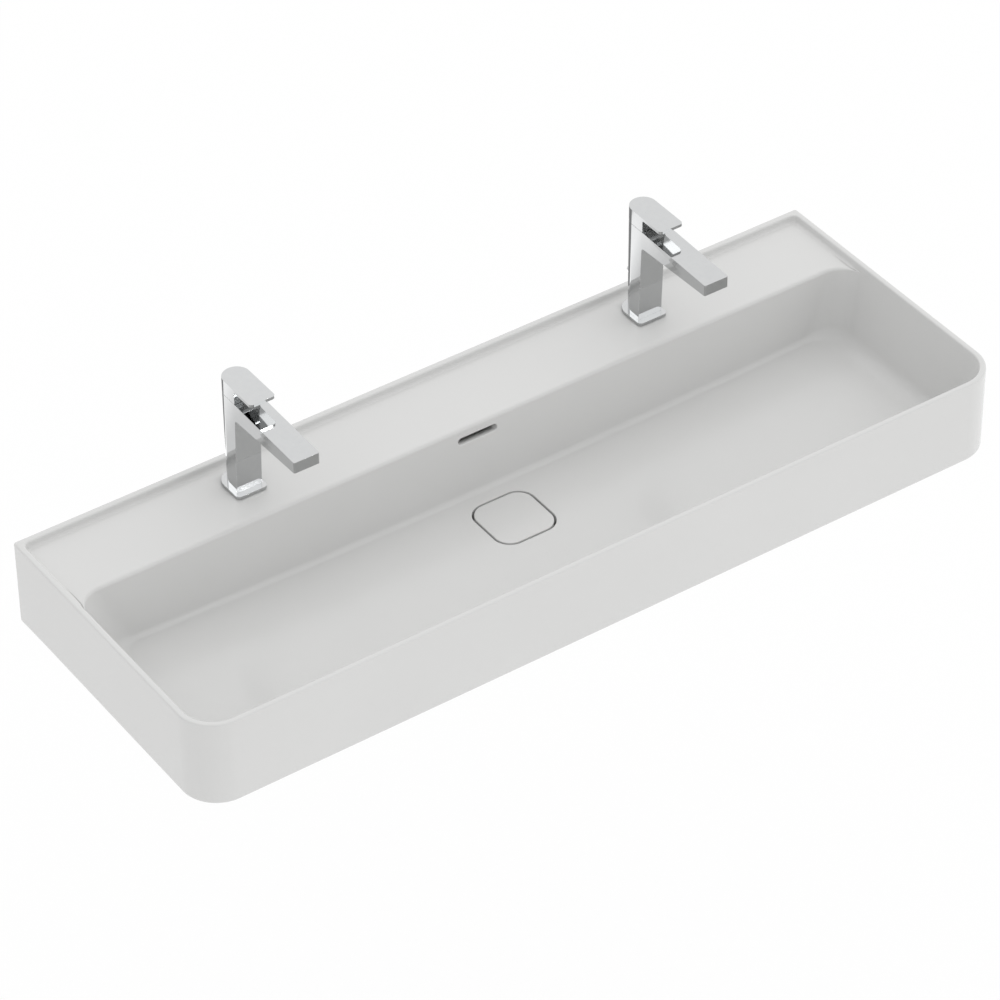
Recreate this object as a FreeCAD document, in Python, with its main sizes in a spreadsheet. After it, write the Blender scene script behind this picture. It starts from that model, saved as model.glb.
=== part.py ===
import FreeCAD, Part
import math
import os
import re

import Sketcher

# A wall-hung ceramic basin with two single-lever mixers and a covered push-to-open waste.
# Frame: origin on the wall between the two wall bolts, +Z up, +Y into the wall, +X to the right.

SIZES = {
    # Ceramic body, outside; the skirt reaches a little below the underside of the bowl
    "basin_width": 1200.0,
    "basin_depth": 430.0,
    "skirt_reach": 7.0,
    "front_corner_radius": 50.0,
    "back_corner_radius": 4.0,
    "foot_edge_radius": 5.0,
    "rim_edge_radius": 2.5,
    # Wall bolts, below the rim
    "bolt_drop": 65.0,
    "bolt_spacing": 800.0,
    "bolt_hole_radius": 7.0,
    # Rim and tap deck
    "rim_width": 8.0,
    "back_lip_width": 9.5,
    "deck_drop": 9.0,
    "deck_depth": 124.0,
    "deck_corner_radius": 9.0,
    # Bowl: leans are how far each wall comes in between the rim and the middle of the floor
    "bowl_front_radius": 42.0,
    "bowl_rear_radius": 35.0,
    "side_lean": 42.0,
    "rear_lean": 14.0,
    "front_lean": 14.0,
    "floor_drop": 108.0,
    "floor_fall": 11.0,
    "floor_fillet": 20.0,
    # Ceramic thicknesses
    "bowl_wall": 9.0,
    "floor_wall": 10.0,
    "deck_wall": 12.0,
    "skirt_wall": 8.0,
    "back_wall": 10.0,
    # Overflow slot and its duct down to the drain
    "overflow_width": 58.0,
    "overflow_height": 8.5,
    "overflow_drop": 24.5,
    "duct_depth": 12.0,
    "duct_wall": 8.0,
    # Drain recess; its depth is what the waste stacks up in it
    "drain_setback": 205.0,
    "recess_side": 90.0,
    "recess_corner_radius": 24.5,
    "recess_floor": 8.0,
    # Waste cover and plug
    "cover_gap": 2.5,
    "cover_thickness": 7.0,
    "plug_disc_thickness": 3.0,
    "plug_seal_thickness": 3.0,
    "plug_seal_inset": 2.5,
    "plug_seat": 4.5,
    "plunger_radius": 4.5,
    "plunger_rest": 3.0,
    # Waste body and what clamps it
    "flange_radius": 32.0,
    "flange_thickness": 3.0,
    "flange_gasket_thickness": 2.0,
    "gasket_inset": 1.0,
    "waste_radius": 20.95,
    "waste_wall": 3.45,
    "waste_length": 74.0,
    "drain_hole_gap": 2.05,
    "overflow_window_width": 16.0,
    "under_gasket_radius": 33.0,
    "under_gasket_thickness": 4.0,
    "washer_thickness": 2.0,
    "locknut_radius": 29.0,
    "locknut_height": 10.0,
    # Click cartridge and the spider that carries it
    "click_radius": 8.0,
    "click_lip": 2.0,
    "click_lip_height": 3.0,
    "click_length": 22.0,
    "click_floor": 3.0,
    "click_drop": 27.0,
    "spider_height": 10.0,
    "spider_wall": 2.5,
    "spoke_thickness": 3.0,
    # Tail pipe
    "tail_radius": 16.0,
    "tail_wall": 1.5,
    "tail_length": 61.0,
    "tail_collar_height": 3.0,
    "tail_thread_length": 12.0,
    # Tap column and spout; each tap is drawn about the middle of its column's round back, on the deck
    "tap_spacing": 612.0,
    "tap_setback": 56.0,
    "column_width": 36.6,
    "column_front": 17.5,
    "column_front_lean": 4.5,
    "joint_height": 147.5,
    "spout_reach": 156.0,
    "spout_tip_fall": 3.5,
    "spout_tip_depth": 16.0,
    "spout_root_depth": 24.9,
    "spout_root_radius": 5.0,
    "spout_corner_radius": 2.0,
    # Base plate, its gasket and the hole in the deck
    "plate_width": 44.6,
    "plate_front": 26.3,
    "plate_corner_radius": 6.0,
    "plate_thickness": 4.2,
    "plate_rim": 1.6,
    "plate_hole_radius": 13.5,
    "plate_hole_offset": 4.5,
    "base_gasket_thickness": 0.8,
    "tap_hole_radius": 17.0,
    # Waterways
    "inlet_radius": 5.0,
    "inlet_depth": 15.0,
    "inlet_spacing": 12.6,
    "inlet_offset": 0.5,
    "riser_radius": 2.8,
    "outlet_offset": 8.5,
    "outlet_drop": 5.0,
    "spout_duct_radius": 3.2,
    "spout_duct_rise": 9.5,
    # Cartridge
    "cartridge_offset": 1.5,
    "cartridge_wall": 4.3,
    "cartridge_depth": 14.0,
    "cartridge_seal_thickness": 1.0,
    "housing_floor": 4.0,
    "housing_wall": 2.2,
    "fixed_disc_thickness": 2.5,
    "moving_disc_thickness": 2.4,
    "moving_disc_room": 2.9,
    "disc_gap": 0.1,
    "nut_height": 2.9,
    "nut_lip": 0.5,
    "rotor_headroom": 2.5,
    "rotor_slot_room": 4.5,
    # Lever, its stem and pivot
    "lever_rise": 22.5,
    "lever_reach": 61.0,
    "blade_thickness": 4.0,
    "blade_corner_radius": 5.0,
    "hub_front": 23.0,
    "hub_gap": 0.4,
    "hub_roof": 9.0,
    "lever_lift_angle": 18.0,
    "pivot_offset": 3.0,
    "pivot_rise": 6.0,
    "pin_radius": 1.5,
    "pin_length": 16.0,
    "stem_width": 8.0,
    "stem_thickness": 6.0,
    "stem_bite": 0.8,
    "stem_socket_depth": 6.0,
    "stem_pocket_gap": 0.9,
    "grub_radius": 2.5,
    "grub_length": 7.0,
    # Aerator under the spout tip
    "aerator_inset": 15.0,
    "aerator_radius": 11.2,
    "aerator_wall": 2.3,
    "aerator_proud": 1.5,
    "aerator_length": 7.0,
    "aerator_seal_thickness": 1.5,
    "aerator_seal_width": 3.8,
    "aerator_chamber": 5.0,
    "aerator_recess": 0.5,
    # Lift rod
    "rod_radius": 2.0,
    "rod_depth": 55.0,
    "rod_end_radius": 1.75,
    "rod_end_length": 30.0,
    "knob_foot_height": 39.0,
    "knob_length": 18.0,
    "knob_radius": 5.2,
    "knob_neck_radius": 2.9,
    "knob_crown": 1.5,
    "knob_cap": 4.0,
    "knob_gap": 1.2,
    "rod_lift": 20.0,
    "stop_radius": 4.5,
    "stop_length": 6.0,
    # Fixing under the deck
    "stud_offset": 11.5,
    "stud_radius": 4.0,
    "stud_seat": 14.0,
    "stud_reach": 50.0,
    "horseshoe_radius": 24.0,
    "horseshoe_slot_width": 27.0,
    "horseshoe_slot_offset": 6.0,
    "pad_thickness": 3.0,
    "horseshoe_thickness": 3.0,
    "fixing_nut_radius": 7.5,
    "fixing_nut_height": 8.0,
    # Clearances and the overrun of cutting shapes
    "running_gap": 0.05,
    "loose_gap": 0.3,
    "overrun": 5.0,
}

# Heights of the ceramic, from the wall bolts
RIM = "bolt_drop"
DECK = "(bolt_drop-deck_drop)"
FLOOR = "(bolt_drop-floor_drop)"
FOOT = "(bolt_drop-floor_drop-floor_wall-skirt_reach)"
FLANGE_STACK = "(cover_thickness+plug_disc_thickness+plug_seal_thickness+flange_thickness)"
RECESS = "(%s-%s-flange_gasket_thickness)" % (FLOOR, FLANGE_STACK)
DUCT_TOP = "(%s-recess_floor)" % RECESS
DUCT_FOOT = "(%s-duct_depth)" % DUCT_TOP
BLOCK_FOOT = "(%s-duct_wall)" % DUCT_FOOT

# Places in a tap, from the middle of its column's round back on the deck
COLUMN_FOOT = "(base_gasket_thickness+plate_thickness)"
BORE_FLOOR = "(joint_height-cartridge_depth)"
BORE_RADIUS = "(column_width/2-cartridge_wall)"
ROD_Y = "(column_width/2+knob_gap+knob_radius)"
TAP_HOLE_Y = "(%s+rod_radius+loose_gap-tap_hole_radius)" % ROD_Y
PLATE_ARC_Y = "(%s+rod_radius+plate_rim-plate_width/2)" % ROD_Y
PIVOT_HEIGHT = "(joint_height+pivot_rise)"
LEVER_TOP = "(joint_height+lever_rise)"
LEVER_ROOF = "(%s-hub_roof)" % LEVER_TOP
HOUSING_FOOT = "(%s+cartridge_seal_thickness)" % BORE_FLOOR
FIXED_FOOT = "(%s+housing_floor)" % HOUSING_FOOT
MOVING_FOOT = "(%s+fixed_disc_thickness+disc_gap)" % FIXED_FOOT
MOVING_TOP = "(%s+moving_disc_thickness)" % MOVING_FOOT
SPOUT_FOOT = "(joint_height-spout_tip_fall-spout_tip_depth)"
AERATOR_FOOT = "(%s-aerator_proud)" % SPOUT_FOOT
AERATOR_TOP = "(%s+aerator_length)" % AERATOR_FOOT
AERATOR_Y = "(aerator_inset-spout_reach)"

doc = FreeCAD.newDocument("WallBasin")
sheet = doc.addObject("Spreadsheet::Sheet", "Sizes")
for row, (alias, number) in enumerate(SIZES.items(), start=1):
    sheet.set("A%d" % row, alias)
    sheet.set("B%d" % row, str(number))
    sheet.setAlias("B%d" % row, alias)
doc.recompute()

nodes = []


def bound(formula):
    """A formula of size names, with each name pointing at its cell in the sheet."""
    return re.sub(r"[a-z_]+", lambda word: "Sizes." * (word.group() in SIZES) + word.group(), formula)


def value(formula):
    """What a formula of size names comes to, from the sheet."""
    answer = sheet.evalExpression(bound(formula))
    return float(getattr(answer, "Value", answer))


def bind(thing, prop, formula):
    thing.setExpression(prop, bound(formula))


def put(thing, x="0", y="0", z="0"):
    """Place a thing by three formulas."""
    for name, formula in zip("xyz", (x, y, z)):
        if formula != "0":
            bind(thing, ".Placement.Base." + name, formula)
    return thing


def node(thing, label):
    """Name a finished sub-part; its label is its file's name."""
    thing.Label = label
    nodes.append(thing)
    return thing


def at_tap(thing, side, y="0", z="0", x="0"):
    """Set a piece of a tap, given its place in the tap, at the left (-1) or right (1) tap."""
    return put(thing, "%d*tap_spacing/2+(%s)" % (side, x), "(%s)-tap_setback" % y, "%s+(%s)" % (DECK, z))


def block(x_low, x_high, y_low, y_high, z_low, z_high):
    thing = doc.addObject("Part::Box", "block")
    bind(thing, "Length", "(%s)-(%s)" % (x_high, x_low))
    bind(thing, "Width", "(%s)-(%s)" % (y_high, y_low))
    bind(thing, "Height", "(%s)-(%s)" % (z_high, z_low))
    return put(thing, x_low, y_low, z_low)


def cylinder(radius, low, high, x="0", y="0"):
    """An upright cylinder between two heights."""
    thing = doc.addObject("Part::Cylinder", "round")
    bind(thing, "Radius", radius)
    bind(thing, "Height", "(%s)-(%s)" % (high, low))
    return put(thing, x, y, low)


def rod_along(axis, radius, length, x="0", y="0", z="0"):
    """A cylinder that starts at a point and runs along +X or along -Y."""
    thing = doc.addObject("Part::Cylinder", "rod")
    bind(thing, "Radius", radius)
    bind(thing, "Height", length)
    turn_about = {"x": FreeCAD.Vector(0, 1, 0), "-y": FreeCAD.Vector(1, 0, 0)}[axis]
    thing.Placement = FreeCAD.Placement(FreeCAD.Vector(), FreeCAD.Rotation(turn_about, 90))
    return put(thing, x, y, z)


def hexagon(corner_radius, low, high, x="0", y="0"):
    thing = doc.addObject("Part::Prism", "hexagon")
    thing.Polygon = 6
    bind(thing, "Circumradius", corner_radius)
    bind(thing, "Height", "(%s)-(%s)" % (high, low))
    return put(thing, x, y, low)


def cut(base, *tools):
    """A base with one or more shapes taken out of it."""
    thing = doc.addObject("Part::Cut", "cut")
    thing.Base = base
    thing.Tool = tools[0] if len(tools) == 1 else fuse(*tools)
    return thing


def fuse(*shapes):
    thing = doc.addObject("Part::MultiFuse", "joined")
    thing.Shapes = list(shapes)
    return thing


def common(*shapes):
    thing = doc.addObject("Part::MultiCommon", "shared")
    thing.Shapes = list(shapes)
    return thing


def group(label, *shapes):
    thing = doc.addObject("Part::Compound", label)
    thing.Links = list(shapes)
    return node(thing, label)


def arc_between(start, end, radius, inward):
    """The arc from start to end; it turns left round its centre, or right where inward."""
    middle = (start + end) * 0.5
    along = end - start
    reach = math.sqrt(max(radius ** 2 - (along.Length / 2) ** 2, 0.0))
    left = FreeCAD.Vector(-along.y, along.x, 0).normalize()
    centre = middle - left * reach if inward else middle + left * reach
    first, last = (end, start) if inward else (start, end)
    angles = [math.atan2(point.y - centre.y, point.x - centre.x) for point in (first, last)]
    circle = Part.Circle(centre, FreeCAD.Vector(0, 0, 1), radius)
    return Part.ArcOfCircle(circle, angles[0], angles[1])


def draw(sketch, points):
    """Draw a closed outline, counter-clockwise, and tie each point to the sheet.
    A point is (across, up); a radius after it makes the stretch to the next point an arc,
    and the word inward after that makes the arc hollow."""
    places = [FreeCAD.Vector(value(point[0]), value(point[1]), 0) for point in points]
    count = len(points)
    ends = []
    for index, point in enumerate(points):
        start = places[index]
        end = places[(index + 1) % count]
        inward = len(point) > 3
        if len(point) > 2:
            sketch.addGeometry(arc_between(start, end, value(point[2]), inward), False)
        else:
            sketch.addGeometry(Part.LineSegment(start, end), False)
        ends.append((2, 1) if inward else (1, 2))
    for index, point in enumerate(points):
        following = (index + 1) % count
        sketch.addConstraint(
            Sketcher.Constraint("Coincident", index, ends[index][1], following, ends[following][0]))
        for kind, line, formula in (("DistanceX", -2, point[0]), ("DistanceY", -1, point[1])):
            if formula == "0":
                sketch.addConstraint(Sketcher.Constraint("PointOnObject", index, ends[index][0], line))
            else:
                place = sketch.addConstraint(
                    Sketcher.Constraint(kind, -1, 1, index, ends[index][0], value(formula)))
                bind(sketch, "Constraints[%d]" % place, formula)
        if len(point) > 2:
            place = sketch.addConstraint(Sketcher.Constraint("Radius", index, value(point[2])))
            bind(sketch, "Constraints[%d]" % place, point[2])


def sketch_in(body, plane, points, lift="0"):
    """A sketch on one of the body's own origin planes, lifted along that plane's normal."""
    sketch = body.newObject("Sketcher::SketchObject", "outline")
    origin_plane = [item for item in body.Origin.OriginFeatures if item.Role == plane][0]
    sketch.AttachmentSupport = [(origin_plane, "")]
    sketch.MapMode = "FlatFace"
    if lift != "0":
        bind(sketch, ".AttachmentOffset.Base.z", lift)
    draw(sketch, points)
    return sketch


def padded(points, low, high, plane="XY_Plane"):
    """A prism on an outline, from low to high along the plane's normal."""
    body = doc.addObject("PartDesign::Body", "prism")
    sketch = sketch_in(body, plane, points, low)
    pad = body.newObject("PartDesign::Pad", "pad")
    pad.Profile = sketch
    bind(pad, "Length", "(%s)-(%s)" % (high, low))
    return body


def turned(points, x="0", y="0", z="0"):
    """A body turned about an upright axis from an outline of (radius, height) points."""
    body = doc.addObject("PartDesign::Body", "turned")
    sketch = sketch_in(body, "XZ_Plane", points)
    turn = body.newObject("PartDesign::Revolution", "turn")
    turn.Profile = sketch
    turn.ReferenceAxis = (sketch, ["V_Axis"])
    turn.Angle = 360
    return put(body, x, y, z)


def ring(inner, outer, low, high, x="0", y="0", z="0"):
    """A flat washer shape."""
    return turned([(inner, low), (outer, low), (outer, high), (inner, high)], x, y, z)


def disc(radius, low, high, x="0", y="0", z="0"):
    return turned([("0", low), (radius, low), (radius, high), ("0", high)], x, y, z)


def rounded_box(half, front, back, front_radius, back_radius):
    """Plan outline with two front corners and two back corners."""
    return [
        ("-(%s)+%s" % (half, front_radius), front),
        ("(%s)-(%s)" % (half, front_radius), front, front_radius),
        (half, "(%s)+%s" % (front, front_radius)),
        (half, "(%s)-(%s)" % (back, back_radius), back_radius),
        ("(%s)-(%s)" % (half, back_radius), back),
        ("-(%s)+%s" % (half, back_radius), back, back_radius),
        ("-(%s)" % half, "(%s)-(%s)" % (back, back_radius)),
        ("-(%s)" % half, "(%s)+%s" % (front, front_radius), front_radius),
    ]


def round_backed(half, front, arc_y, corner_radius):
    """Plan outline with straight sides, a half-round back about (0, arc_y) and small front corners."""
    return [
        ("-(%s)+%s" % (half, corner_radius), "-(%s)" % front),
        ("(%s)-%s" % (half, corner_radius), "-(%s)" % front, corner_radius),
        (half, "-(%s)+%s" % (front, corner_radius)),
        (half, arc_y, half),
        ("0", "(%s)+(%s)" % (arc_y, half), half),
        ("-(%s)" % half, arc_y),
        ("-(%s)" % half, "-(%s)+%s" % (front, corner_radius), corner_radius),
    ]


def leaning_prism(top, low_outline, high_level, low_level):
    """A solid whose walls run straight from an upper plan outline to a lower one."""
    sections = []
    for points, level in ((low_outline, low_level), (top, high_level)):
        sketch = doc.addObject("Sketcher::SketchObject", "section")
        draw(sketch, points)
        sections.append(put(sketch, "0", "0", level))
    loft = doc.addObject("Part::Loft", "walls")
    loft.Sections = sections
    loft.Solid = True
    loft.Ruled = True
    return loft


def rounded(base, radius, chosen):
    """Fillet the edges of a shape that a test picks out."""
    doc.recompute()
    size = value(radius)
    edges = enumerate(base.Shape.Edges, start=1)
    thing = doc.addObject("Part::Fillet", "rounded")
    thing.Base = base
    thing.Edges = [(number, size, size) for number, edge in edges if chosen(edge)]
    return thing


def level_at(edge, height):
    """Whether an edge lies flat at a height."""
    box = edge.BoundBox
    near = value("running_gap")
    return abs(box.ZMin - height) < near and abs(box.ZMax - height) < near


def bowl_shape(wall, floor):
    """The bowl's hollow, or with a wall and floor added, the outside of its ceramic.
    Its floor is one long arc that falls from both ends to the drain."""
    half = "basin_width/2-rim_width+%s" % wall
    front = "-(basin_depth-rim_width+%s)" % wall
    back = "-(deck_depth-rear_lean*deck_drop/(floor_drop-deck_drop)-%s)" % wall
    radii = ("(bowl_front_radius+%s)" % wall, "(bowl_rear_radius+%s)" % wall)
    top = rounded_box(half, front, back, *radii)
    low = rounded_box(half + "-side_lean", front + "+front_lean", back + "-rear_lean", *radii)
    lowest = "(%s-%s)" % (FLOOR, floor)
    walls = leaning_prism(top, low, RIM, lowest + "-overrun")
    reach = "(basin_width/2)"
    end = lowest + "+floor_fall"
    above = RIM + "+overrun"
    floor_radius = "(pow(%s;2)+pow(floor_fall;2))/(2*floor_fall)" % reach
    over_floor = padded(
        [("-" + reach, end, floor_radius), (reach, end), (reach, above), ("-" + reach, above)],
        "0", "basin_depth+overrun", "XZ_Plane")
    return common(walls, over_floor)


def overflow_slot():
    """A level slot with round ends, from the bowl into the duct behind it."""
    half = "(overflow_width/2-overflow_height/2)"
    middle = RIM + "-overflow_drop"
    low = middle + "-overflow_height/2"
    high = middle + "+overflow_height/2"
    end_radius = "overflow_height/2"
    points = [
        ("-" + half, low), (half, low, end_radius), (half + "+overflow_height/2", middle, end_radius),
        (half, high), ("-" + half, high, end_radius), ("-%s-overflow_height/2" % half, middle, end_radius)]
    return padded(points, "deck_depth-bowl_wall-duct_wall-duct_depth/2", "deck_depth+rear_lean", "XZ_Plane")


def basin():
    """One fired piece: skirt and rim, tap deck, bowl, overflow duct, drain recess and bolt holes."""
    half = "basin_width/2"
    outside = padded(
        rounded_box(half, "-basin_depth", "0", "front_corner_radius", "back_corner_radius"), FOOT, RIM)
    rim_height = value(RIM)
    foot_height = value(FOOT)
    eased = rounded(outside, "rim_edge_radius", lambda edge: level_at(edge, rim_height))
    eased = rounded(eased, "foot_edge_radius", lambda edge: level_at(edge, foot_height))

    hollow = padded(
        rounded_box(half + "-skirt_wall", "-(basin_depth-skirt_wall)", "-back_wall",
                    "(front_corner_radius-skirt_wall)", "back_corner_radius"),
        FOOT + "-overrun", DECK + "-deck_wall")
    shell = cut(eased, cut(hollow, bowl_shape("bowl_wall", "floor_wall")))

    block_half = "(recess_side/2+duct_wall)"
    duct_half = "(overflow_width/2)"
    wall_half = "(overflow_width/2+duct_wall)"
    duct_front = "-(deck_depth-bowl_wall-duct_wall)"
    duct_back = "-(deck_depth-bowl_wall-duct_wall-duct_depth)"
    wall_back = duct_back + "+duct_wall"
    drain_block = block("-" + block_half, block_half, "-(drain_setback+%s)" % block_half,
                        "-(drain_setback-%s)" % block_half, BLOCK_FOOT, FLOOR)
    low_wall = block("-" + wall_half, wall_half, "-drain_setback", wall_back, BLOCK_FOOT, FLOOR)
    riser_wall = block("-" + wall_half, wall_half, "-(deck_depth+rear_lean)", wall_back, BLOCK_FOOT,
                       DECK + "-deck_wall/2")
    solid = fuse(shell, drain_block, low_wall, riser_wall)

    bowl = bowl_shape("0", "0")
    doc.recompute()
    floor_edges = min(bowl.Shape.Faces, key=lambda face: face.CenterOfMass.z).Edges
    soft_bowl = rounded(bowl, "floor_fillet", lambda edge: any(edge.isSame(side) for side in floor_edges))
    deck_recess = padded(
        rounded_box(half + "-rim_width", "-(deck_depth+bowl_rear_radius)", "-back_lip_width",
                    "deck_corner_radius", "deck_corner_radius"),
        DECK, RIM + "+overrun")
    drain_recess = padded(
        rounded_box("recess_side/2", "-(drain_setback+recess_side/2)", "-(drain_setback-recess_side/2)",
                    "recess_corner_radius", "recess_corner_radius"),
        RECESS, FLOOR + "+overrun")
    drain_hole = cylinder("waste_radius+drain_hole_gap", BLOCK_FOOT + "-overrun", RECESS + "+overrun",
                          "0", "-drain_setback")
    low_duct = block("-" + duct_half, duct_half, "-drain_setback", duct_back, DUCT_FOOT, DUCT_TOP)
    riser = block("-" + duct_half, duct_half, duct_front, duct_back, DUCT_FOOT,
                  RIM + "-overflow_drop+overflow_height/2")
    cuts = [soft_bowl, deck_recess, drain_recess, drain_hole, low_duct, riser, overflow_slot()]
    for side in (-1, 1):
        hole = cylinder("tap_hole_radius", "-deck_wall-overrun", "overrun")
        cuts.append(at_tap(hole, side, TAP_HOLE_Y, "-deck_wall-overrun"))
        cuts.append(rod_along("-y", "bolt_hole_radius", "back_wall+2*overrun",
                              "%d*bolt_spacing/2" % side, "overrun"))
    node(cut(solid, *cuts), "basin_body")


def waste():
    """Ceramic cover on a plug, and the threaded waste that clamps the drain hole."""
    flange_foot = "(%s+flange_gasket_thickness)" % RECESS
    flange_top = "(%s+flange_thickness)" % flange_foot
    cover_foot = "(%s-cover_thickness)" % FLOOR
    disc_foot = "(%s-plug_disc_thickness)" % cover_foot
    bore = "(waste_radius-waste_wall)"
    plug_radius = "(%s+plug_seat)" % bore
    drain = ("0", "-drain_setback", "0")

    cover_half = "(recess_side/2-cover_gap)"
    cover_corner = "(recess_corner_radius-cover_gap)"
    node(padded(
        rounded_box(cover_half, "-(drain_setback+%s)" % cover_half, "-(drain_setback-%s)" % cover_half,
                    cover_corner, cover_corner),
        cover_foot, FLOOR), "waste_cover")
    node(disc(plug_radius, disc_foot, cover_foot, *drain), "plug_disc")
    node(ring(bore + "-plug_seal_inset", plug_radius, flange_top, disc_foot, *drain), "plug_seal")

    lip_foot = "(%s-click_drop)" % flange_top
    lip_top = lip_foot + "+click_lip_height"
    lip_radius = "click_radius+click_lip"
    click_foot = lip_foot + "-click_length"
    well_floor = click_foot + "+click_floor"
    well = "plunger_radius+running_gap"
    node(disc("plunger_radius", well_floor + "+plunger_rest", disc_foot, *drain), "click_plunger")
    node(turned([
        ("0", click_foot), ("click_radius", click_foot), ("click_radius", lip_foot), (lip_radius, lip_foot),
        (lip_radius, lip_top), (well, lip_top), (well, well_floor), ("0", well_floor)],
        *drain), "click_cartridge")

    waste_foot = "(%s-waste_length)" % flange_foot
    tube = turned([
        (bore, waste_foot), ("waste_radius", waste_foot), ("waste_radius", flange_foot),
        ("flange_radius", flange_foot), ("flange_radius", flange_top), (bore, flange_top)], *drain)
    hub_hole = "click_radius+running_gap"
    hub_foot = lip_foot + "-spider_height"
    hub = ring(hub_hole, "click_radius+spider_wall", hub_foot, lip_foot, *drain)
    spokes = []
    spoke_count = 3
    for turn in range(spoke_count):
        spoke = block(hub_hole, "waste_radius-waste_wall/2", "-spoke_thickness/2", "spoke_thickness/2",
                      hub_foot, lip_foot)
        turned_spoke = doc.addObject("Part::Compound", "spoke")
        turned_spoke.Links = [spoke]
        angle = 360 / spoke_count * (turn + 0.25)
        turned_spoke.Placement.Rotation = FreeCAD.Rotation(FreeCAD.Vector(0, 0, 1), angle)
        spokes.append(put(turned_spoke, *drain))
    window = block("-overflow_window_width/2", "overflow_window_width/2",
                   "-(drain_setback+waste_radius+overrun)", "-(drain_setback-waste_radius-overrun)",
                   DUCT_FOOT, DUCT_TOP)
    window_core = cylinder(bore, DUCT_FOOT, DUCT_TOP, "0", "-drain_setback")
    node(cut(fuse(tube, hub, *spokes), cut(window, window_core)), "waste_body")

    sleeve = "waste_radius+loose_gap"
    gasket_foot = "(%s-under_gasket_thickness)" % BLOCK_FOOT
    washer_foot = "(%s-washer_thickness)" % gasket_foot
    nut_foot = washer_foot + "-locknut_height"
    node(ring(sleeve, "flange_radius-gasket_inset", RECESS, flange_foot, *drain), "flange_gasket")
    node(ring(sleeve, "under_gasket_radius", gasket_foot, BLOCK_FOOT, *drain), "under_gasket")
    node(ring(sleeve, "under_gasket_radius", washer_foot, gasket_foot, *drain), "waste_washer")
    locknut = hexagon("locknut_radius", nut_foot, washer_foot, "0", "-drain_setback")
    nut_hole = cylinder("waste_radius+running_gap", nut_foot + "-overrun", washer_foot + "+overrun",
                        "0", "-drain_setback")
    node(cut(locknut, nut_hole), "waste_locknut")

    tail_bore = "tail_radius-tail_wall"
    collar_foot = "(%s-tail_collar_height)" % waste_foot
    tail_foot = "(%s-tail_length)" % collar_foot
    thread = bore + "-running_gap"
    thread_top = waste_foot + "+tail_thread_length"
    node(turned([
        (tail_bore, tail_foot), ("tail_radius", tail_foot), ("tail_radius", collar_foot),
        ("waste_radius", collar_foot), ("waste_radius", waste_foot), (thread, waste_foot),
        (thread, thread_top), (tail_bore, thread_top)], *drain), "tail_pipe")


def ports(low, high):
    """The two supply ports and the outlet port that pass through the cartridge's seats."""
    supply = [("%d*inlet_spacing/2" % hand, "inlet_offset") for hand in (-1, 1)]
    outlet = ("0", "-outlet_offset")
    return [cylinder("riser_radius", low, high, x, y) for x, y in supply + [outlet]]


def tap_body(side, name):
    """Chrome column and spout in one casting, bored for its waterways, cartridge and aerator."""
    rear = "column_width/2"
    plan = padded(round_backed(rear, "spout_reach", "0", "spout_corner_radius"), COLUMN_FOOT, "joint_height")
    front_top = "-(column_front+column_front_lean)"
    root = "joint_height-spout_root_depth"
    side_view = padded([
        ("-column_front", COLUMN_FOOT), (rear, COLUMN_FOOT), (rear, "joint_height"),
        ("-hub_front", "joint_height"), ("-spout_reach", "joint_height-spout_tip_fall"),
        ("-spout_reach", SPOUT_FOOT),
        (front_top + "-spout_root_radius", root, "spout_root_radius", "inward"),
        (front_top, root + "-spout_root_radius")],
        "-column_width/2-overrun", "column_width/2+overrun", "YZ_Plane")
    casting = common(plan, side_view)

    bore = cylinder(BORE_RADIUS, BORE_FLOOR, "joint_height+overrun", "0", "-cartridge_offset")
    outlet_height = "(%s-outlet_drop)" % BORE_FLOOR
    tools = [bore] + ports(outlet_height, BORE_FLOOR + "+overrun")[2:]
    for hand in (-1, 1):
        across = "%d*inlet_spacing/2" % hand
        inlet_top = COLUMN_FOOT + "+inlet_depth"
        tools.append(cylinder("inlet_radius", COLUMN_FOOT + "-overrun", inlet_top, across, "inlet_offset"))
        tools.append(cylinder("riser_radius", COLUMN_FOOT, BORE_FLOOR + "+overrun", across, "inlet_offset"))
    stud_top = COLUMN_FOOT + "+stud_seat"
    tools.append(cylinder("stud_radius", COLUMN_FOOT + "-overrun", stud_top, "0", "stud_offset"))
    chamber_top = AERATOR_TOP + "+aerator_seal_thickness+aerator_chamber"
    tools.append(cylinder("aerator_radius", AERATOR_FOOT + "-overrun", chamber_top, "0", AERATOR_Y))
    duct_run = "(-%s-outlet_offset)" % AERATOR_Y
    duct_length = "sqrt(pow(%s;2)+pow(spout_duct_rise;2))" % duct_run
    duct = rod_along("-y", "spout_duct_radius", duct_length, "0", "-outlet_offset", outlet_height)
    bind(duct, ".Placement.Rotation.Angle", "90 deg-atan(spout_duct_rise/%s)" % duct_run)
    tools.append(duct)
    node(at_tap(cut(casting, *tools), side), name + "_tap_body")


def tap_base(side, name):
    """Base plate and gasket under the column, with room for the stud, the inlets and the lift rod."""
    half = "plate_width/2"
    below = "-overrun"
    above = COLUMN_FOOT + "+overrun"
    plate = padded(round_backed(half, "plate_front", PLATE_ARC_Y, "plate_corner_radius"),
                   "base_gasket_thickness", COLUMN_FOOT)
    middle = cylinder("plate_hole_radius", below, above, "0", "plate_hole_offset")
    rod_hole = cylinder("rod_radius+running_gap", below, above, "0", ROD_Y)
    node(at_tap(cut(plate, middle, rod_hole), side), name + "_base_plate")

    gasket = padded(
        round_backed(half + "-gasket_inset", "plate_front-gasket_inset", PLATE_ARC_Y,
                     "(plate_corner_radius-gasket_inset)"), "0", "base_gasket_thickness")
    gasket_hole = cylinder("tap_hole_radius", below, above, "0", TAP_HOLE_Y)
    node(at_tap(cut(gasket, gasket_hole), side), name + "_base_gasket")


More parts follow.
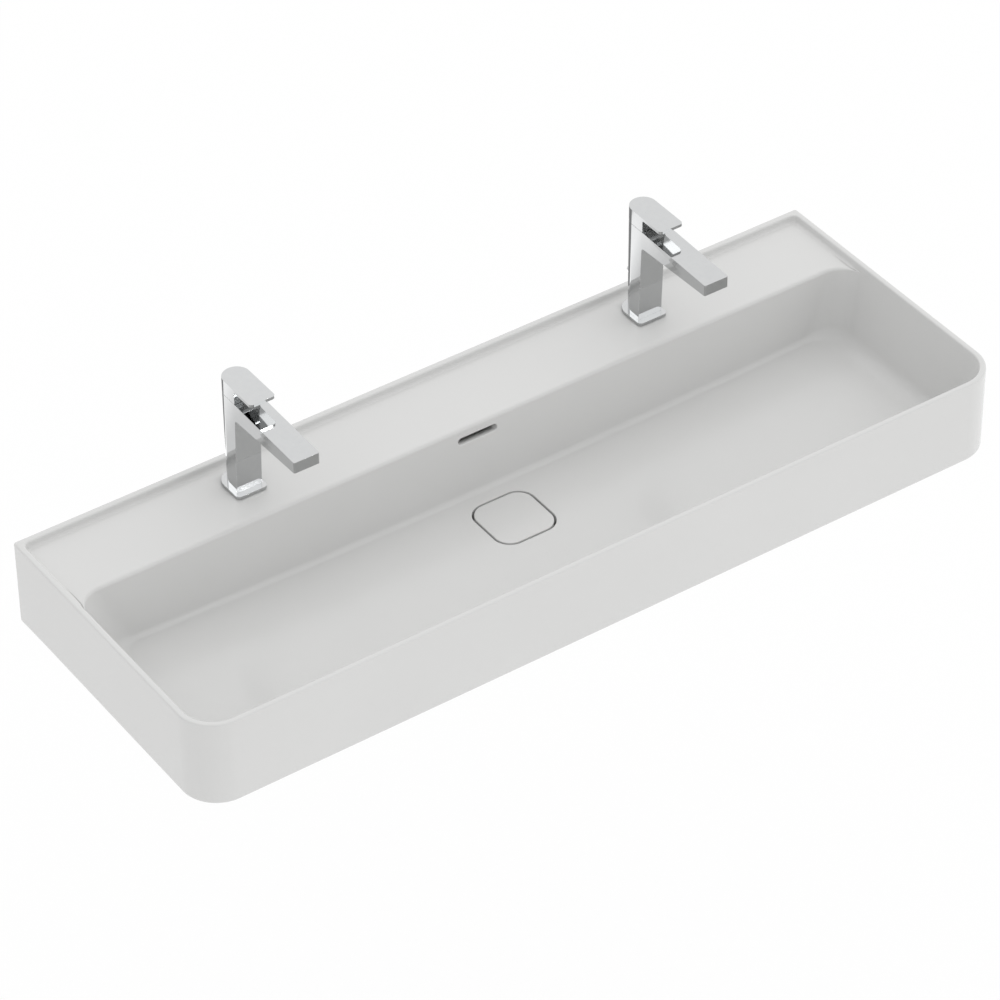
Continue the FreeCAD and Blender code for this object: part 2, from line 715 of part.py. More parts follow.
def cartridge(side, name):
    """Ceramic-disc cartridge: housing, two discs, rotor with its pin, and the ring nut over them."""
    axis = ("0", "-cartridge_offset")
    nut_foot = "(joint_height-nut_height-disc_gap)"
    outer = "(%s-loose_gap)" % BORE_RADIUS
    inner = "(%s-housing_wall)" % outer
    slot_half = "(stem_width/2+loose_gap)"

    shell = turned([
        ("0", HOUSING_FOOT), (outer, HOUSING_FOOT), (outer, nut_foot), (inner, nut_foot),
        (inner, FIXED_FOOT), ("0", FIXED_FOOT)], *axis)
    housing = cut(shell, *ports(HOUSING_FOOT + "-overrun", FIXED_FOOT + "+overrun"))
    node(at_tap(housing, side), name + "_cartridge_housing")

    fixed_top = FIXED_FOOT + "+fixed_disc_thickness"
    fixed = disc(inner + "-running_gap", FIXED_FOOT, fixed_top, *axis)
    fixed = cut(fixed, *ports(FIXED_FOOT + "-overrun", fixed_top + "+overrun"))
    node(at_tap(fixed, side), name + "_fixed_disc")

    moving = disc(inner + "-moving_disc_room", MOVING_FOOT, MOVING_TOP)
    pocket_front = "pivot_offset-stem_thickness/2-stem_pocket_gap"
    pocket_back = "pivot_offset+stem_thickness/2+stem_pocket_gap"
    pocket = block("-" + slot_half, slot_half, pocket_front, pocket_back,
                   MOVING_FOOT + "-overrun", MOVING_TOP + "+overrun")
    node(at_tap(cut(moving, pocket), side), name + "_moving_disc")

    rotor_foot = MOVING_TOP + "+loose_gap"
    rotor_top = LEVER_ROOF + "-rotor_headroom"
    rotor_radius = inner + "-running_gap"
    neck = inner + "-nut_lip-running_gap"
    shoulder = nut_foot + "-disc_gap"
    drum = turned([
        ("0", rotor_foot), (rotor_radius, rotor_foot), (rotor_radius, shoulder), (neck, shoulder),
        (neck, rotor_top), ("0", rotor_top)], *axis)
    slot = block("-" + slot_half, slot_half, "pivot_offset-stem_thickness/2-rotor_slot_room", BORE_RADIUS,
                 rotor_foot + "-overrun", rotor_top + "+overrun")
    pin_hole = rod_along("x", "pin_radius+running_gap", "2*" + BORE_RADIUS, "-" + BORE_RADIUS, "pivot_offset",
                         PIVOT_HEIGHT)
    node(at_tap(cut(drum, slot, pin_hole), side), name + "_cartridge_rotor")
    pin = rod_along("x", "pin_radius", "pin_length")
    node(at_tap(pin, side, "pivot_offset", PIVOT_HEIGHT, "-pin_length/2"), name + "_stem_pin")

    nut = ring(inner + "-nut_lip", BORE_RADIUS + "-running_gap", nut_foot, "joint_height-disc_gap")
    node(at_tap(nut, side, "-cartridge_offset"), name + "_cartridge_nut")


def lever(side, name):
    """Lever with a round-backed hub and a flat blade; its heel is cut away so that it can tilt."""
    rear = "column_width/2"
    hub_foot = "(joint_height+hub_gap)"
    heel = hub_foot + "+(column_width/2-pivot_offset)*tan(lever_lift_angle)"
    blade_foot = LEVER_TOP + "-blade_thickness"
    plan = padded(round_backed(rear, "lever_reach", "0", "blade_corner_radius"), hub_foot, LEVER_TOP)
    side_view = padded([
        ("-lever_reach", blade_foot), ("-hub_front", blade_foot), ("-hub_front", hub_foot),
        ("pivot_offset", hub_foot), (rear, heel), (rear, LEVER_TOP), ("-lever_reach", LEVER_TOP)],
        "-column_width/2-overrun", "column_width/2+overrun", "YZ_Plane")
    cavity = cylinder(BORE_RADIUS + "+loose_gap", hub_foot + "-overrun", LEVER_ROOF, "0", "-cartridge_offset")
    stem_front = "(pivot_offset-stem_thickness/2)"
    stem_back = "(pivot_offset+stem_thickness/2)"
    stem_top = LEVER_ROOF + "+stem_socket_depth"
    socket = block("-stem_width/2-running_gap", "stem_width/2+running_gap", stem_front + "-running_gap",
                   stem_back + "+running_gap", LEVER_ROOF + "-overrun", stem_top + "+running_gap")
    grub_height = LEVER_ROOF + "+stem_socket_depth/2"
    grub_hole = rod_along("-y", "grub_radius+running_gap", "column_width/2+overrun-pivot_offset",
                          "0", "column_width/2+overrun", grub_height)
    node(at_tap(cut(common(plan, side_view), cavity, socket, grub_hole), side), name + "_lever")

    bar = block("-stem_width/2", "stem_width/2", stem_front, stem_back, MOVING_TOP + "-stem_bite", stem_top)
    eye = rod_along("x", "pin_radius+running_gap", "stem_width+2*overrun", "-stem_width/2-overrun",
                    "pivot_offset", PIVOT_HEIGHT)
    node(at_tap(cut(bar, eye), side), name + "_lever_stem")

    grub = rod_along("-y", "grub_radius", "grub_length")
    node(at_tap(grub, side, stem_back + "+grub_length", grub_height), name + "_grub_screw")


def aerator(side, name):
    """Screwed ring with its jet insert under the spout tip."""
    inner = "(aerator_radius-aerator_wall)"
    housing = ring(inner, "aerator_radius-running_gap", AERATOR_FOOT, AERATOR_TOP)
    node(at_tap(housing, side, AERATOR_Y), name + "_aerator_housing")
    insert = disc(inner + "-running_gap", AERATOR_FOOT + "+aerator_recess", AERATOR_TOP)
    node(at_tap(insert, side, AERATOR_Y), name + "_aerator_insert")


def lift_rod(side, name):
    """Lift rod behind the column, with its flared knob and the collar that stops it below the deck."""
    knob_top = "knob_foot_height+knob_length"
    rod_top = knob_top + "-knob_cap"
    bore = "rod_radius+running_gap"
    rod_foot = "-rod_depth-rod_end_length"
    rod = turned([
        ("0", rod_foot), ("rod_end_radius", rod_foot), ("rod_end_radius", "-rod_depth"),
        ("rod_radius", "-rod_depth"), ("rod_radius", rod_top), ("0", rod_top)])
    node(at_tap(rod, side, ROD_Y), name + "_lift_rod")
    knob = turned([
        (bore, "knob_foot_height"), ("knob_neck_radius", "knob_foot_height"),
        ("knob_radius", knob_top + "-knob_crown"), ("knob_radius-knob_crown", knob_top),
        ("0", knob_top), ("0", rod_top), (bore, rod_top)])
    node(at_tap(knob, side, ROD_Y), name + "_lift_knob")
    stop_top = "-(deck_wall+pad_thickness+horseshoe_thickness+rod_lift+loose_gap)"
    stop = ring(bore, "stop_radius", stop_top + "-stop_length", stop_top)
    node(at_tap(stop, side, ROD_Y), name + "_rod_stop")


def horseshoe(low, high):
    """A round plate with a slot open to the front for the hoses, and holes for the stud and rod."""
    below = low + "-overrun"
    above = high + "+overrun"
    plate = cylinder("horseshoe_radius", low, high, "0", TAP_HOLE_Y)
    slot_front = TAP_HOLE_Y + "-horseshoe_radius-overrun"
    slot = block("-horseshoe_slot_width/2", "horseshoe_slot_width/2", slot_front, "horseshoe_slot_offset",
                 below, above)
    stud_hole = cylinder("stud_radius+loose_gap", below, above, "0", "stud_offset")
    rod_hole = cylinder("rod_radius+loose_gap", below, above, "0", ROD_Y)
    return cut(plate, slot, stud_hole, rod_hole)


def shared_tap_pieces():
    """Like pieces of both taps, a group of two solids in each node."""
    sides = (-1, 1)
    pad_foot = "(-deck_wall-pad_thickness)"
    plate_foot = "(%s-horseshoe_thickness)" % pad_foot
    nut_foot = plate_foot + "-fixing_nut_height"
    group("horseshoe_pads", *[at_tap(horseshoe(pad_foot, "-deck_wall"), side) for side in sides])
    group("horseshoe_plates", *[at_tap(horseshoe(plate_foot, pad_foot), side) for side in sides])
    stud_top = COLUMN_FOOT + "+stud_seat-loose_gap"
    studs = []
    nuts = []
    seals = []
    rings = []
    seal_top = BORE_FLOOR + "+cartridge_seal_thickness"
    for side in sides:
        stud = disc("stud_radius-running_gap", "-stud_reach", stud_top)
        studs.append(at_tap(stud, side, "stud_offset"))
        nut = hexagon("fixing_nut_radius", nut_foot, plate_foot, "0", "stud_offset")
        hole = cylinder("stud_radius", nut_foot + "-overrun", plate_foot + "+overrun", "0", "stud_offset")
        nuts.append(at_tap(cut(nut, hole), side))
        seal = disc(BORE_RADIUS + "-loose_gap", BORE_FLOOR, seal_top, "0", "-cartridge_offset")
        seal = cut(seal, *ports(BORE_FLOOR + "-overrun", seal_top + "+overrun"))
        seals.append(at_tap(seal, side))
        gasket = ring("aerator_radius-aerator_seal_width", "aerator_radius-running_gap", AERATOR_TOP,
                      AERATOR_TOP + "+aerator_seal_thickness")
        rings.append(at_tap(gasket, side, AERATOR_Y))
    group("fixing_studs", *studs)
    group("fixing_nuts", *nuts)
    group("cartridge_seals", *seals)
    group("aerator_seals", *rings)


basin()
waste()
for side, name in ((-1, "left"), (1, "right")):
    tap_body(side, name)
    tap_base(side, name)
    cartridge(side, name)
    lever(side, name)
    aerator(side, name)
    lift_rod(side, name)
shared_tap_pieces()
doc.recompute()

for thing in doc.Objects:
    if "Invalid" in thing.State or "Error" in thing.State:
        raise RuntimeError("%s (%s) failed: %s" % (thing.Label, thing.TypeId, thing.State))
for thing in nodes:
    if thing.Shape.isNull() or not thing.Shape.isValid() or not thing.Shape.Solids:
        raise RuntimeError("%s has no valid solid" % thing.Label)

os.makedirs("parts", exist_ok=True)
for thing in nodes:
    thing.Shape.exportStep("parts/%s.step" % thing.Label)
    print("%-26s %d solids, %.0f mm3" % (thing.Label, len(thing.Shape.Solids), thing.Shape.Volume))
print(len(nodes), "nodes")
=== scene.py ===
import bmesh
import bpy
import numpy as np
from mathutils import Matrix


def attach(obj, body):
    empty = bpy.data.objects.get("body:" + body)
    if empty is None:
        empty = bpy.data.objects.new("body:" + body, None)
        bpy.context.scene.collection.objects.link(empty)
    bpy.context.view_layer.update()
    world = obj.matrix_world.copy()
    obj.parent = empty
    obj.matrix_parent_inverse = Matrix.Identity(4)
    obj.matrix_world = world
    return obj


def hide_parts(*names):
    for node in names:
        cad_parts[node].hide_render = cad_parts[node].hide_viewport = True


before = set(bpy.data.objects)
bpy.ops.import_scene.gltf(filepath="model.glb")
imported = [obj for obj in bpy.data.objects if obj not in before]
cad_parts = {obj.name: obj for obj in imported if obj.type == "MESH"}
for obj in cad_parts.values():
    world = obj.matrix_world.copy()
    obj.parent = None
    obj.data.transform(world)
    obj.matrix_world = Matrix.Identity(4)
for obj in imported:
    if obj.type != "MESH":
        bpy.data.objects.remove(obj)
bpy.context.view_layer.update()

# Basin: one slip-cast piece of vitreous china, glazed white and fired, hung on two wall bolts.
# A skirt with a thin rim holds the sunk tap deck and the long bowl, and the glaze softens every edge.
# All plan outlines are walked alike, so one grid of rings runs over the rim to the drain and back below.
MM = 0.001
TINY = 1e-6
RIM_Z, DECK_Z, DECK_UNDER_Z, FOOT_Z = 65.0, 56.0, 44.0, -60.0
FLOOR_Z, UNDER_Z, RECESS_Z, BLOCK_Z = -43.0, -53.0, -61.0, -89.0
HALF_LENGTH, FRONT_Y, OUTER_CORNER, WALL_CORNER = 600.0, -430.0, 50.0, 4.0
MOUTH_HALF, MOUTH_FRONT, MOUTH_BACK = 592.0, -422.0, -122.7
FRONT_CORNER, BACK_CORNER, DECK_CORNER, CORNER_GROWTH = 42.0, 35.0, 9.0, 6.0
RIM_BACK, DECK_BACK, SKIRT_BACK = -9.5, -11.0, -10.0
SHOULDER_Y = MOUTH_BACK - BACK_CORNER
WALL_DEPTH, END_LEAN, LONG_LEAN, CHINA_WALL, FLOOR_RISE = 113.0, 42.0, 14.0, 9.0, 11.0
DRAIN_Y, DRAIN_RADIUS = -205.0, 23.0
TAP_X, TAP_HOLE_Y, TAP_HOLE_RADIUS = 306.0, -46.0, 17.0
BOLT_X, BOLT_RADIUS, BOLT_WINDOW = 400.0, 7.0, 13.0
SLOT_Z, SLOT_HALF_RUN, SLOT_RADIUS = 38.5, 24.75, 4.6
SLOT_END_Y, SLOT_FOOT_Z, SLOT_SLOPE = -91.0, -12.0, 2.85
BOSS_HALF, BOSS_BACK = 31.0, -89.5
UP, DOWN, IN, OUT = (0, 1), (0, -1), (1, 0), (-1, 0)


def steps(*runs):
    """Places along a line, from runs of (start, stop, count), with the very last place added."""
    return np.concatenate([np.linspace(a, b, n, endpoint=False) for a, b, n in runs] + [[runs[-1][1]]])


def spread(count):
    """Even shares between 0 and 1, without the two ends."""
    return np.linspace(0, 1, count + 2)[1:-1]


# Places of the grid's columns round a plan. They lie closer at corners and where a hole is cut in the back.
FRONT_SHARES = steps((0, 1, 22))
CORNER_SHARES = steps((0, 1, 16))[1:]
SIDE_SHARES = steps((0, 0.88, 12), (0.88, 1, 5))[1:]
SHOULDER_SHARES = steps((0, 0.3, 7), (0.3, 1, 11))[1:]
TURN_SHARES = steps((0, 1, 8))[1:]
BOLT_FROM, BOLT_TO, TAP_FROM, TAP_TO, SLOT_FROM = 0.712, 0.64, 0.59, 0.49, 0.078
BACK_PLACES = steps((1, BOLT_FROM, 9), (BOLT_FROM, BOLT_TO, 8), (BOLT_TO, TAP_FROM, 2),
                    (TAP_FROM, TAP_TO, 10), (TAP_TO, SLOT_FROM, 15), (SLOT_FROM, 0, 14))[1:]
BACK_START = sum(map(len, (FRONT_SHARES, CORNER_SHARES, SIDE_SHARES, SHOULDER_SHARES, TURN_SHARES)))
MIDDLE_BACK = BACK_START + len(BACK_PLACES) - 1
COLUMNS = 2 * MIDDLE_BACK


def plan(half, front, back, front_radius, back_radius, shoulder=None):
    """Closed plan outline and its inward normals, from the middle of the front round by the right.
    With a shoulder, as the rim has, the side runs on past it to a small back corner.
    Without one, as in the bowl, the large back corner takes the place of that last run of the side."""
    quarter = np.pi / 2
    shoulder_end = 0.75

    def line(start, end, shares):
        """Points at these shares of a straight run. Inward is to the left of the way it goes."""
        run = np.subtract(end, start)
        inward = np.array([-run[1], run[0]]) / np.hypot(*run)
        return np.add(start, run * shares[:, None]), np.tile(inward, (len(shares), 1))

    def arc(x, y, radius, first, last, shares):
        """Points of an arc between two angles in quarter turns. Inward is towards its centre."""
        angle = quarter * (first + (last - first) * shares)
        outward = np.stack([np.cos(angle), np.sin(angle)], 1)
        return [x, y] + radius * outward, -outward

    side_end = back - back_radius if shoulder is None else shoulder
    turn = (half - back_radius, back - back_radius, back_radius)
    runs = [line((0, front), (half - front_radius, front), FRONT_SHARES),
            arc(half - front_radius, front + front_radius, front_radius, -1, 0, CORNER_SHARES),
            line((half, front + front_radius), (half, side_end), SIDE_SHARES)]
    if shoulder is None:
        runs.append(arc(*turn, 0, shoulder_end, SHOULDER_SHARES))
        runs.append(arc(*turn, shoulder_end, 1, TURN_SHARES))
    else:
        runs.append(line((half, side_end), (half, turn[1]), SHOULDER_SHARES))
        runs.append(arc(*turn, 0, 1, TURN_SHARES))
    runs.append(line((turn[0], back), (0, back), 1 - BACK_PLACES))
    points, inward = (np.concatenate(part) for part in zip(*runs))
    return (np.concatenate([points, points[-2:0:-1] * [-1, 1]]),
            np.concatenate([inward, inward[-2:0:-1] * [-1, 1]]))


def square_plan(half, corner):
    """Plan of a square with round corners that is centred on the drain."""
    return plan(half, DRAIN_Y - half, DRAIN_Y + half, corner, corner)


def rear_wall_y(z):
    """How far back the bowl's rear wall is at a height: it leans forward evenly on the way down."""
    return MOUTH_BACK - LONG_LEAN * (RIM_Z - z) / WALL_DEPTH


def bowl_plan(depth, wall=0.0):
    """The bowl's plan at a depth under the rim: its walls lean in and its corners widen on the way down.
    With a wall added it is the plan of the bowl's outside."""
    share = depth / WALL_DEPTH
    growth = CORNER_GROWTH * share + wall
    return plan(MOUTH_HALF - END_LEAN * share + wall, MOUTH_FRONT + LONG_LEAN * share - wall,
                rear_wall_y(RIM_Z - depth) + wall, FRONT_CORNER + growth, BACK_CORNER + growth)


def bend(outline, height, way_in, way_out, radius, count):
    """Rings of a rounded corner: in each upright cut an arc of the radius joins the run that comes in to the
    run that goes out, with one more ring just before and after it. Ways are (inward, up) directions."""
    widest_margin, margin_share = 0.4, 0.15
    points, inward = outline
    ones = np.ones(len(points))
    way_in, way_out = ([part * ones for part in way] for way in (way_in, way_out))
    cosine = np.clip(way_in[0] * way_out[0] + way_in[1] * way_out[1], -1, 1)
    turn = np.arccos(cosine)
    across = [(out - cosine * into) / np.maximum(np.sin(turn), TINY) for into, out in zip(way_in, way_out)]
    radius = radius * ones
    tangent = radius * np.tan(turn / 2)
    margin = np.minimum(widest_margin, margin_share * radius)
    rings = []
    for share, before, after in [(0, 1, 0)] + [(s, 0, 0) for s in np.linspace(0, 1, count)] + [(1, 0, 1)]:
        moved = [radius * (np.sin(share * turn) * into + (1 - np.cos(share * turn)) * side)
                 - (tangent + before * margin) * into + after * margin * out
                 for into, side, out in zip(way_in, across, way_out)]
        rings.append(np.column_stack([points + inward * moved[0][:, None], height + moved[1]]))
    return rings


def between(first, last, shares):
    """Rings spread straight between two rings at the given shares."""
    return [first + (last - first) * share for share in shares]


def at_height(points, z):
    """A flat ring of plan points at one height."""
    return np.column_stack([points, np.full(len(points), z)])


def floor_height(x, lowest):
    """The bowl floor's height: it rises with the square of the distance from the middle, one long arc."""
    return lowest + FLOOR_RISE * (x / HALF_LENGTH) ** 2


def wall_foot(lowest, wall=0.0):
    """Outline and heights where the leaning bowl wall reaches the arched floor, found by a few repeats."""
    repeats = 4
    mouth, inward = bowl_plan(0, wall)
    foot, _ = bowl_plan(WALL_DEPTH, wall)
    depth = np.full(COLUMNS, RIM_Z - lowest)
    for _ in range(repeats):
        points = mouth + (foot - mouth) * (depth / WALL_DEPTH)[:, None]
        depth = RIM_Z - floor_height(points[:, 0], lowest)
    return (points, inward), RIM_Z - depth


def leaning(lean):
    """Downward way of a wall that moves inward by this much for each step down."""
    return lean / np.hypot(lean, 1), -1 / np.hypot(lean, 1)


outer = plan(HALF_LENGTH, FRONT_Y, 0, OUTER_CORNER, WALL_CORNER, SHOULDER_Y)
rim_inner = plan(MOUTH_HALF, MOUTH_FRONT, RIM_BACK, FRONT_CORNER, DECK_CORNER, SHOULDER_Y)
sunk_share = (RIM_Z - DECK_Z) / WALL_DEPTH
mouth_corner = BACK_CORNER + CORNER_GROWTH * sunk_share
corner_start = SHOULDER_Y - (LONG_LEAN + CORNER_GROWTH) * sunk_share
bowl_mouth = bowl_plan(RIM_Z - DECK_Z)
deck_back = plan(MOUTH_HALF - END_LEAN * sunk_share, MOUTH_FRONT + LONG_LEAN * sunk_share, DECK_BACK,
                 FRONT_CORNER + CORNER_GROWTH * sunk_share, DECK_CORNER, corner_start)
has_deck = np.linalg.norm(bowl_mouth[0] - deck_back[0], axis=1) > TINY


def deck_room(points):
    """Width of the deck beside a side wall: none at the point where the bowl's corner leaves the wall, then
    what the corner's arc leaves free, up to its whole radius."""
    past = np.clip(points[:, 1] - corner_start, 0, mouth_corner)
    return mouth_corner - np.sqrt(mouth_corner ** 2 - past ** 2)


lip_way = leaning(np.sum((deck_back[0] - rim_inner[0]) * rim_inner[1], 1) / (RIM_Z - DECK_Z))
wall_lean = np.sum((bowl_plan(WALL_DEPTH)[0] - bowl_plan(0)[0]) * bowl_plan(0)[1], 1) / WALL_DEPTH
wall_way = leaning(wall_lean)

# Outside of the skirt, the rim, and the lip down to the deck. The foot is rounded less near the wall, and
# the lip's foot takes only a share of a narrow deck.
SKIRT_LEVELS = np.array([-40, -26, -18, -13, -8, -3, 3, 8, 13, 18, 26, 45])
FOOT_ROUND, FOOT_ROUND_AT_WALL, FOOT_RAMP = 5.0, 3.5, 60.0
RIM_ROUND, LIP_ROUND, LIP_SHARE = 2.5, 4.5, 0.55
foot_ramp = np.clip(-outer[0][:, 1] / FOOT_RAMP, 0, 1)
foot_radius = FOOT_ROUND_AT_WALL + (FOOT_ROUND - FOOT_ROUND_AT_WALL) * foot_ramp
lip_radius = np.minimum(LIP_ROUND, LIP_SHARE * deck_room(deck_back[0]))
rings = bend(outer, FOOT_Z, OUT, UP, foot_radius, count=6)
skirt_row = len(rings)
rings += [at_height(outer[0], level) for level in SKIRT_LEVELS]
rings += bend(outer, RIM_Z, UP, IN, RIM_ROUND, count=7)
rings += bend(rim_inner, RIM_Z, IN, lip_way, RIM_ROUND, count=7)
rings += bend(deck_back, DECK_Z, lip_way, IN, lip_radius, count=9)

# Deck, its rounded front edge, the bowl's leaning wall and its floor down to the drain recess. The fillet at
# the wall's foot is tight along the front and back and wide at the two ends.
DECK_RINGS, FLOOR_RINGS = 14, 18
EDGE_ROUND, EDGE_SHARE = 5.0, 0.35
LONG_FILLET, END_FILLET = 8.0, 26.0
WALL_SHARES = steps((0.03, 0.30, 10), (0.30, 0.92, 6))
RECESS_HALF, RECESS_CORNER, RECESS_EDGE, RECESS_FILLET = 45.4, 24.9, 0.8, 2.0
deck_row = len(rings) - 1
edge_radius = np.minimum(EDGE_ROUND, EDGE_SHARE * deck_room(bowl_mouth[0]))
deck_edge = bend(bowl_mouth, DECK_Z, IN, wall_way, edge_radius, count=9)
rings += between(rings[-1], deck_edge[0], spread(DECK_RINGS)) + deck_edge
wall_row = len(rings)
foot_outline, foot_height = wall_foot(FLOOR_Z)
fillet = LONG_FILLET + (END_FILLET - LONG_FILLET) * np.abs(foot_outline[1][:, 0])
wall_bend = bend(foot_outline, foot_height, wall_way, IN, fillet, count=14)
for share, ring in zip(np.linspace(0, 1, len(wall_bend)), wall_bend):
    ring[:, 2] += share * (floor_height(ring[:, 0], FLOOR_Z) - foot_height)
rings += between(rings[-1], wall_bend[0], WALL_SHARES) + wall_bend
recess = square_plan(RECESS_HALF, RECESS_CORNER)
recess_edge = bend(recess, floor_height(recess[0][:, 0], FLOOR_Z), IN, DOWN, RECESS_EDGE, count=5)
floor_rings = between(rings[-1], recess_edge[0], spread(FLOOR_RINGS))
for ring in floor_rings:
    ring[:, 2] = floor_height(ring[:, 0], FLOOR_Z)
rings += floor_rings + recess_edge + bend(recess, RECESS_Z, DOWN, IN, RECESS_FILLET, count=4)

# Drain hole, the block round it, and the bowl's underside.
BLOCK_HALF, BLOCK_CORNER, BLOCK_EDGE, BLOCK_FILLET = 53.0, 10.0, 3.0, 4.0
DRAIN_EDGE, UNDER_ROUND, UNDER_RINGS = 1.0, 15.0, 7
spokes = recess[0] - [0, DRAIN_Y]
spokes /= np.linalg.norm(spokes, axis=1)[:, None]
drain = ([0, DRAIN_Y] + DRAIN_RADIUS * spokes, -spokes)
rings += bend(drain, RECESS_Z, IN, DOWN, DRAIN_EDGE, count=3)
rings += bend(drain, BLOCK_Z, DOWN, OUT, DRAIN_EDGE, count=3)
block = square_plan(BLOCK_HALF, BLOCK_CORNER)
rings += bend(block, BLOCK_Z, OUT, UP, BLOCK_EDGE, count=4)
rings += bend(block, floor_height(block[0][:, 0], UNDER_Z), UP, OUT, BLOCK_FILLET, count=4)
outside_way = (-wall_way[0], -wall_way[1])
under_outline, under_height = wall_foot(UNDER_Z, CHINA_WALL)
under_bend = bend(under_outline, under_height, OUT, outside_way, UNDER_ROUND, count=8)
under_rings = between(rings[-1], under_bend[0], spread(UNDER_RINGS))
for ring in under_rings:
    ring[:, 2] = floor_height(ring[:, 0], UNDER_Z)
rings += under_rings + under_bend

# The bowl's outside, the deck's underside and the skirt's inside. Where there is no deck, bowl and skirt
# meet in a ridge, and the underside has no width.
OUTSIDE_RINGS, HOLLOW_ROUND, HOLLOW_SHARE, INSIDE_EDGE = 3, 5.0, 0.3, 1.5
outside_row = len(rings)
skirt = plan(MOUTH_HALF, MOUTH_FRONT, SKIRT_BACK, FRONT_CORNER, WALL_CORNER, SHOULDER_Y)
mouth_outside, outside_inward = bowl_plan(0, CHINA_WALL)
foot_outside, _ = bowl_plan(WALL_DEPTH, CHINA_WALL)
meeting = np.sum((skirt[0] - mouth_outside) * outside_inward, 1) / wall_lean
ridge_depth = np.where(has_deck, RIM_Z - DECK_UNDER_Z, meeting)
ridge = mouth_outside + (foot_outside - mouth_outside) * (ridge_depth / WALL_DEPTH)[:, None]
hollow_back = np.where(has_deck[:, None], skirt[0], ridge)
hollow_radius = np.minimum(HOLLOW_ROUND, HOLLOW_SHARE * np.linalg.norm(hollow_back - ridge, axis=1))
ridge_bend = bend((ridge, outside_inward), RIM_Z - ridge_depth, outside_way, OUT, hollow_radius, count=4)
rings += between(rings[-1], ridge_bend[0], spread(OUTSIDE_RINGS)) + ridge_bend
under_deck_row = len(rings) - 1
hollow_bend = bend((hollow_back, skirt[1]), RIM_Z - ridge_depth, OUT, DOWN, hollow_radius, count=4)
rings += between(rings[-1], hollow_bend[0], spread(DECK_RINGS)) + hollow_bend
inside_row = len(rings)
skirt_foot = bend(skirt, FOOT_Z, DOWN, OUT, INSIDE_EDGE, count=4)
inside_top, inside_foot = rings[-1][MIDDLE_BACK, 2], skirt_foot[0][MIDDLE_BACK, 2]
inside_levels = SKIRT_LEVELS[-2::-1]
inside_shares = (inside_top - inside_levels) / (inside_top - inside_foot)
rings += between(rings[-1], skirt_foot[0], inside_shares) + skirt_foot


def quads(rows, columns, wrap_rows=True, wrap_columns=True):
    """Corner numbers of the four-sided faces of a grid, row by row, which may close on itself either way."""
    row = np.arange(rows if wrap_rows else rows - 1)[:, None]
    column = np.arange(columns if wrap_columns else columns - 1)[None]
    next_row, next_column = (row + 1) % rows, (column + 1) % columns
    return np.stack(np.broadcast_arrays(row * columns + column, row * columns + next_column,
                                        next_row * columns + next_column, next_row * columns + column), -1)


class Shell:
    """A grid of faces in which holes can be opened and lined before it becomes a mesh."""

    def __init__(self, points, wrap_rows=True, wrap_columns=True):
        self.rows, self.columns = points.shape[:2]
        self.points = [points.reshape(-1, 3)]
        self.count = self.rows * self.columns
        self.grid = quads(self.rows, self.columns, wrap_rows, wrap_columns)
        self.kept = np.ones(self.grid.shape[:2], bool)
        self.extra = []

    def open(self, first_row, last_row, first_column, last_column):
        """Takes a block of faces out of the grid and gives the corner numbers round it, in order."""
        low, high = sorted((first_row, last_row))
        self.kept[low:high, first_column:last_column] = False
        way = 1 if last_row > first_row else -1
        down = np.arange(first_row, last_row, way)
        along = np.arange(first_column, last_column)
        row = np.concatenate([np.full(len(along), first_row), down,
                              np.full(len(along), last_row), down[::-1] + way])
        column = np.concatenate([along, np.full(len(down), last_column),
                                 along[::-1] + 1, np.full(len(down), first_column)])
        return row * self.columns + column % self.columns

    def line(self, loop, lining, far_loop=None):
        """Faces from a hole's loop through the rings of its lining to the far loop, or to a flat end."""
        size = len(loop)
        numbers = [loop] + [self.count + size * ring + np.arange(size) for ring in range(len(lining))]
        self.points.append(np.concatenate(lining))
        self.count += size * len(lining)
        if far_loop is not None:
            numbers.append(far_loop)
        faces = np.concatenate(numbers)[quads(len(numbers), size, wrap_rows=False)]
        self.extra += faces.reshape(-1, 4).tolist()
        if far_loop is None:
            self.extra.append(numbers[-1].tolist())

    def piece(self, name, ends=False):
        """The finished mesh object, in metres, with doubles merged and faces turned outward.
        With ends, the first and last columns are closed by one flat face each."""
        merge_distance, shortest_edge = 2e-6, 1e-6
        faces = self.grid[self.kept].tolist() + self.extra
        if ends:
            edge = np.arange(self.rows) * self.columns
            faces += [edge.tolist(), (edge + self.columns - 1).tolist()]
        mesh = bpy.data.meshes.new(name)
        mesh.from_pydata(np.concatenate(self.points) * MM, [], faces)
        work = bmesh.new()
        work.from_mesh(mesh)
        bmesh.ops.remove_doubles(work, verts=work.verts, dist=merge_distance)
        bmesh.ops.dissolve_degenerate(work, edges=work.edges, dist=shortest_edge)
        bmesh.ops.recalc_face_normals(work, faces=work.faces)
        work.to_mesh(mesh)
        work.free()
        mesh.shade_smooth()
        made = bpy.data.objects.new(name, mesh)
        bpy.context.scene.collection.objects.link(made)
        return made


def hole_ring(flat, half_run, radius):
    """Points on a hole's outline, a circle or a slot with round ends, each nearest to a given flat point."""
    middle = np.column_stack([np.clip(flat[:, 0], -half_run, half_run), np.zeros(len(flat))])
    return middle + radius * (flat - middle) / np.linalg.norm(flat - middle, axis=1)[:, None]


def back_column(place, side=1):
    """Number of the grid column at a place on the back, on the right side or, with side -1, on the left."""
    column = BACK_START + int(np.argmin(abs(BACK_PLACES - place)))
    return column if side > 0 else COLUMNS - column


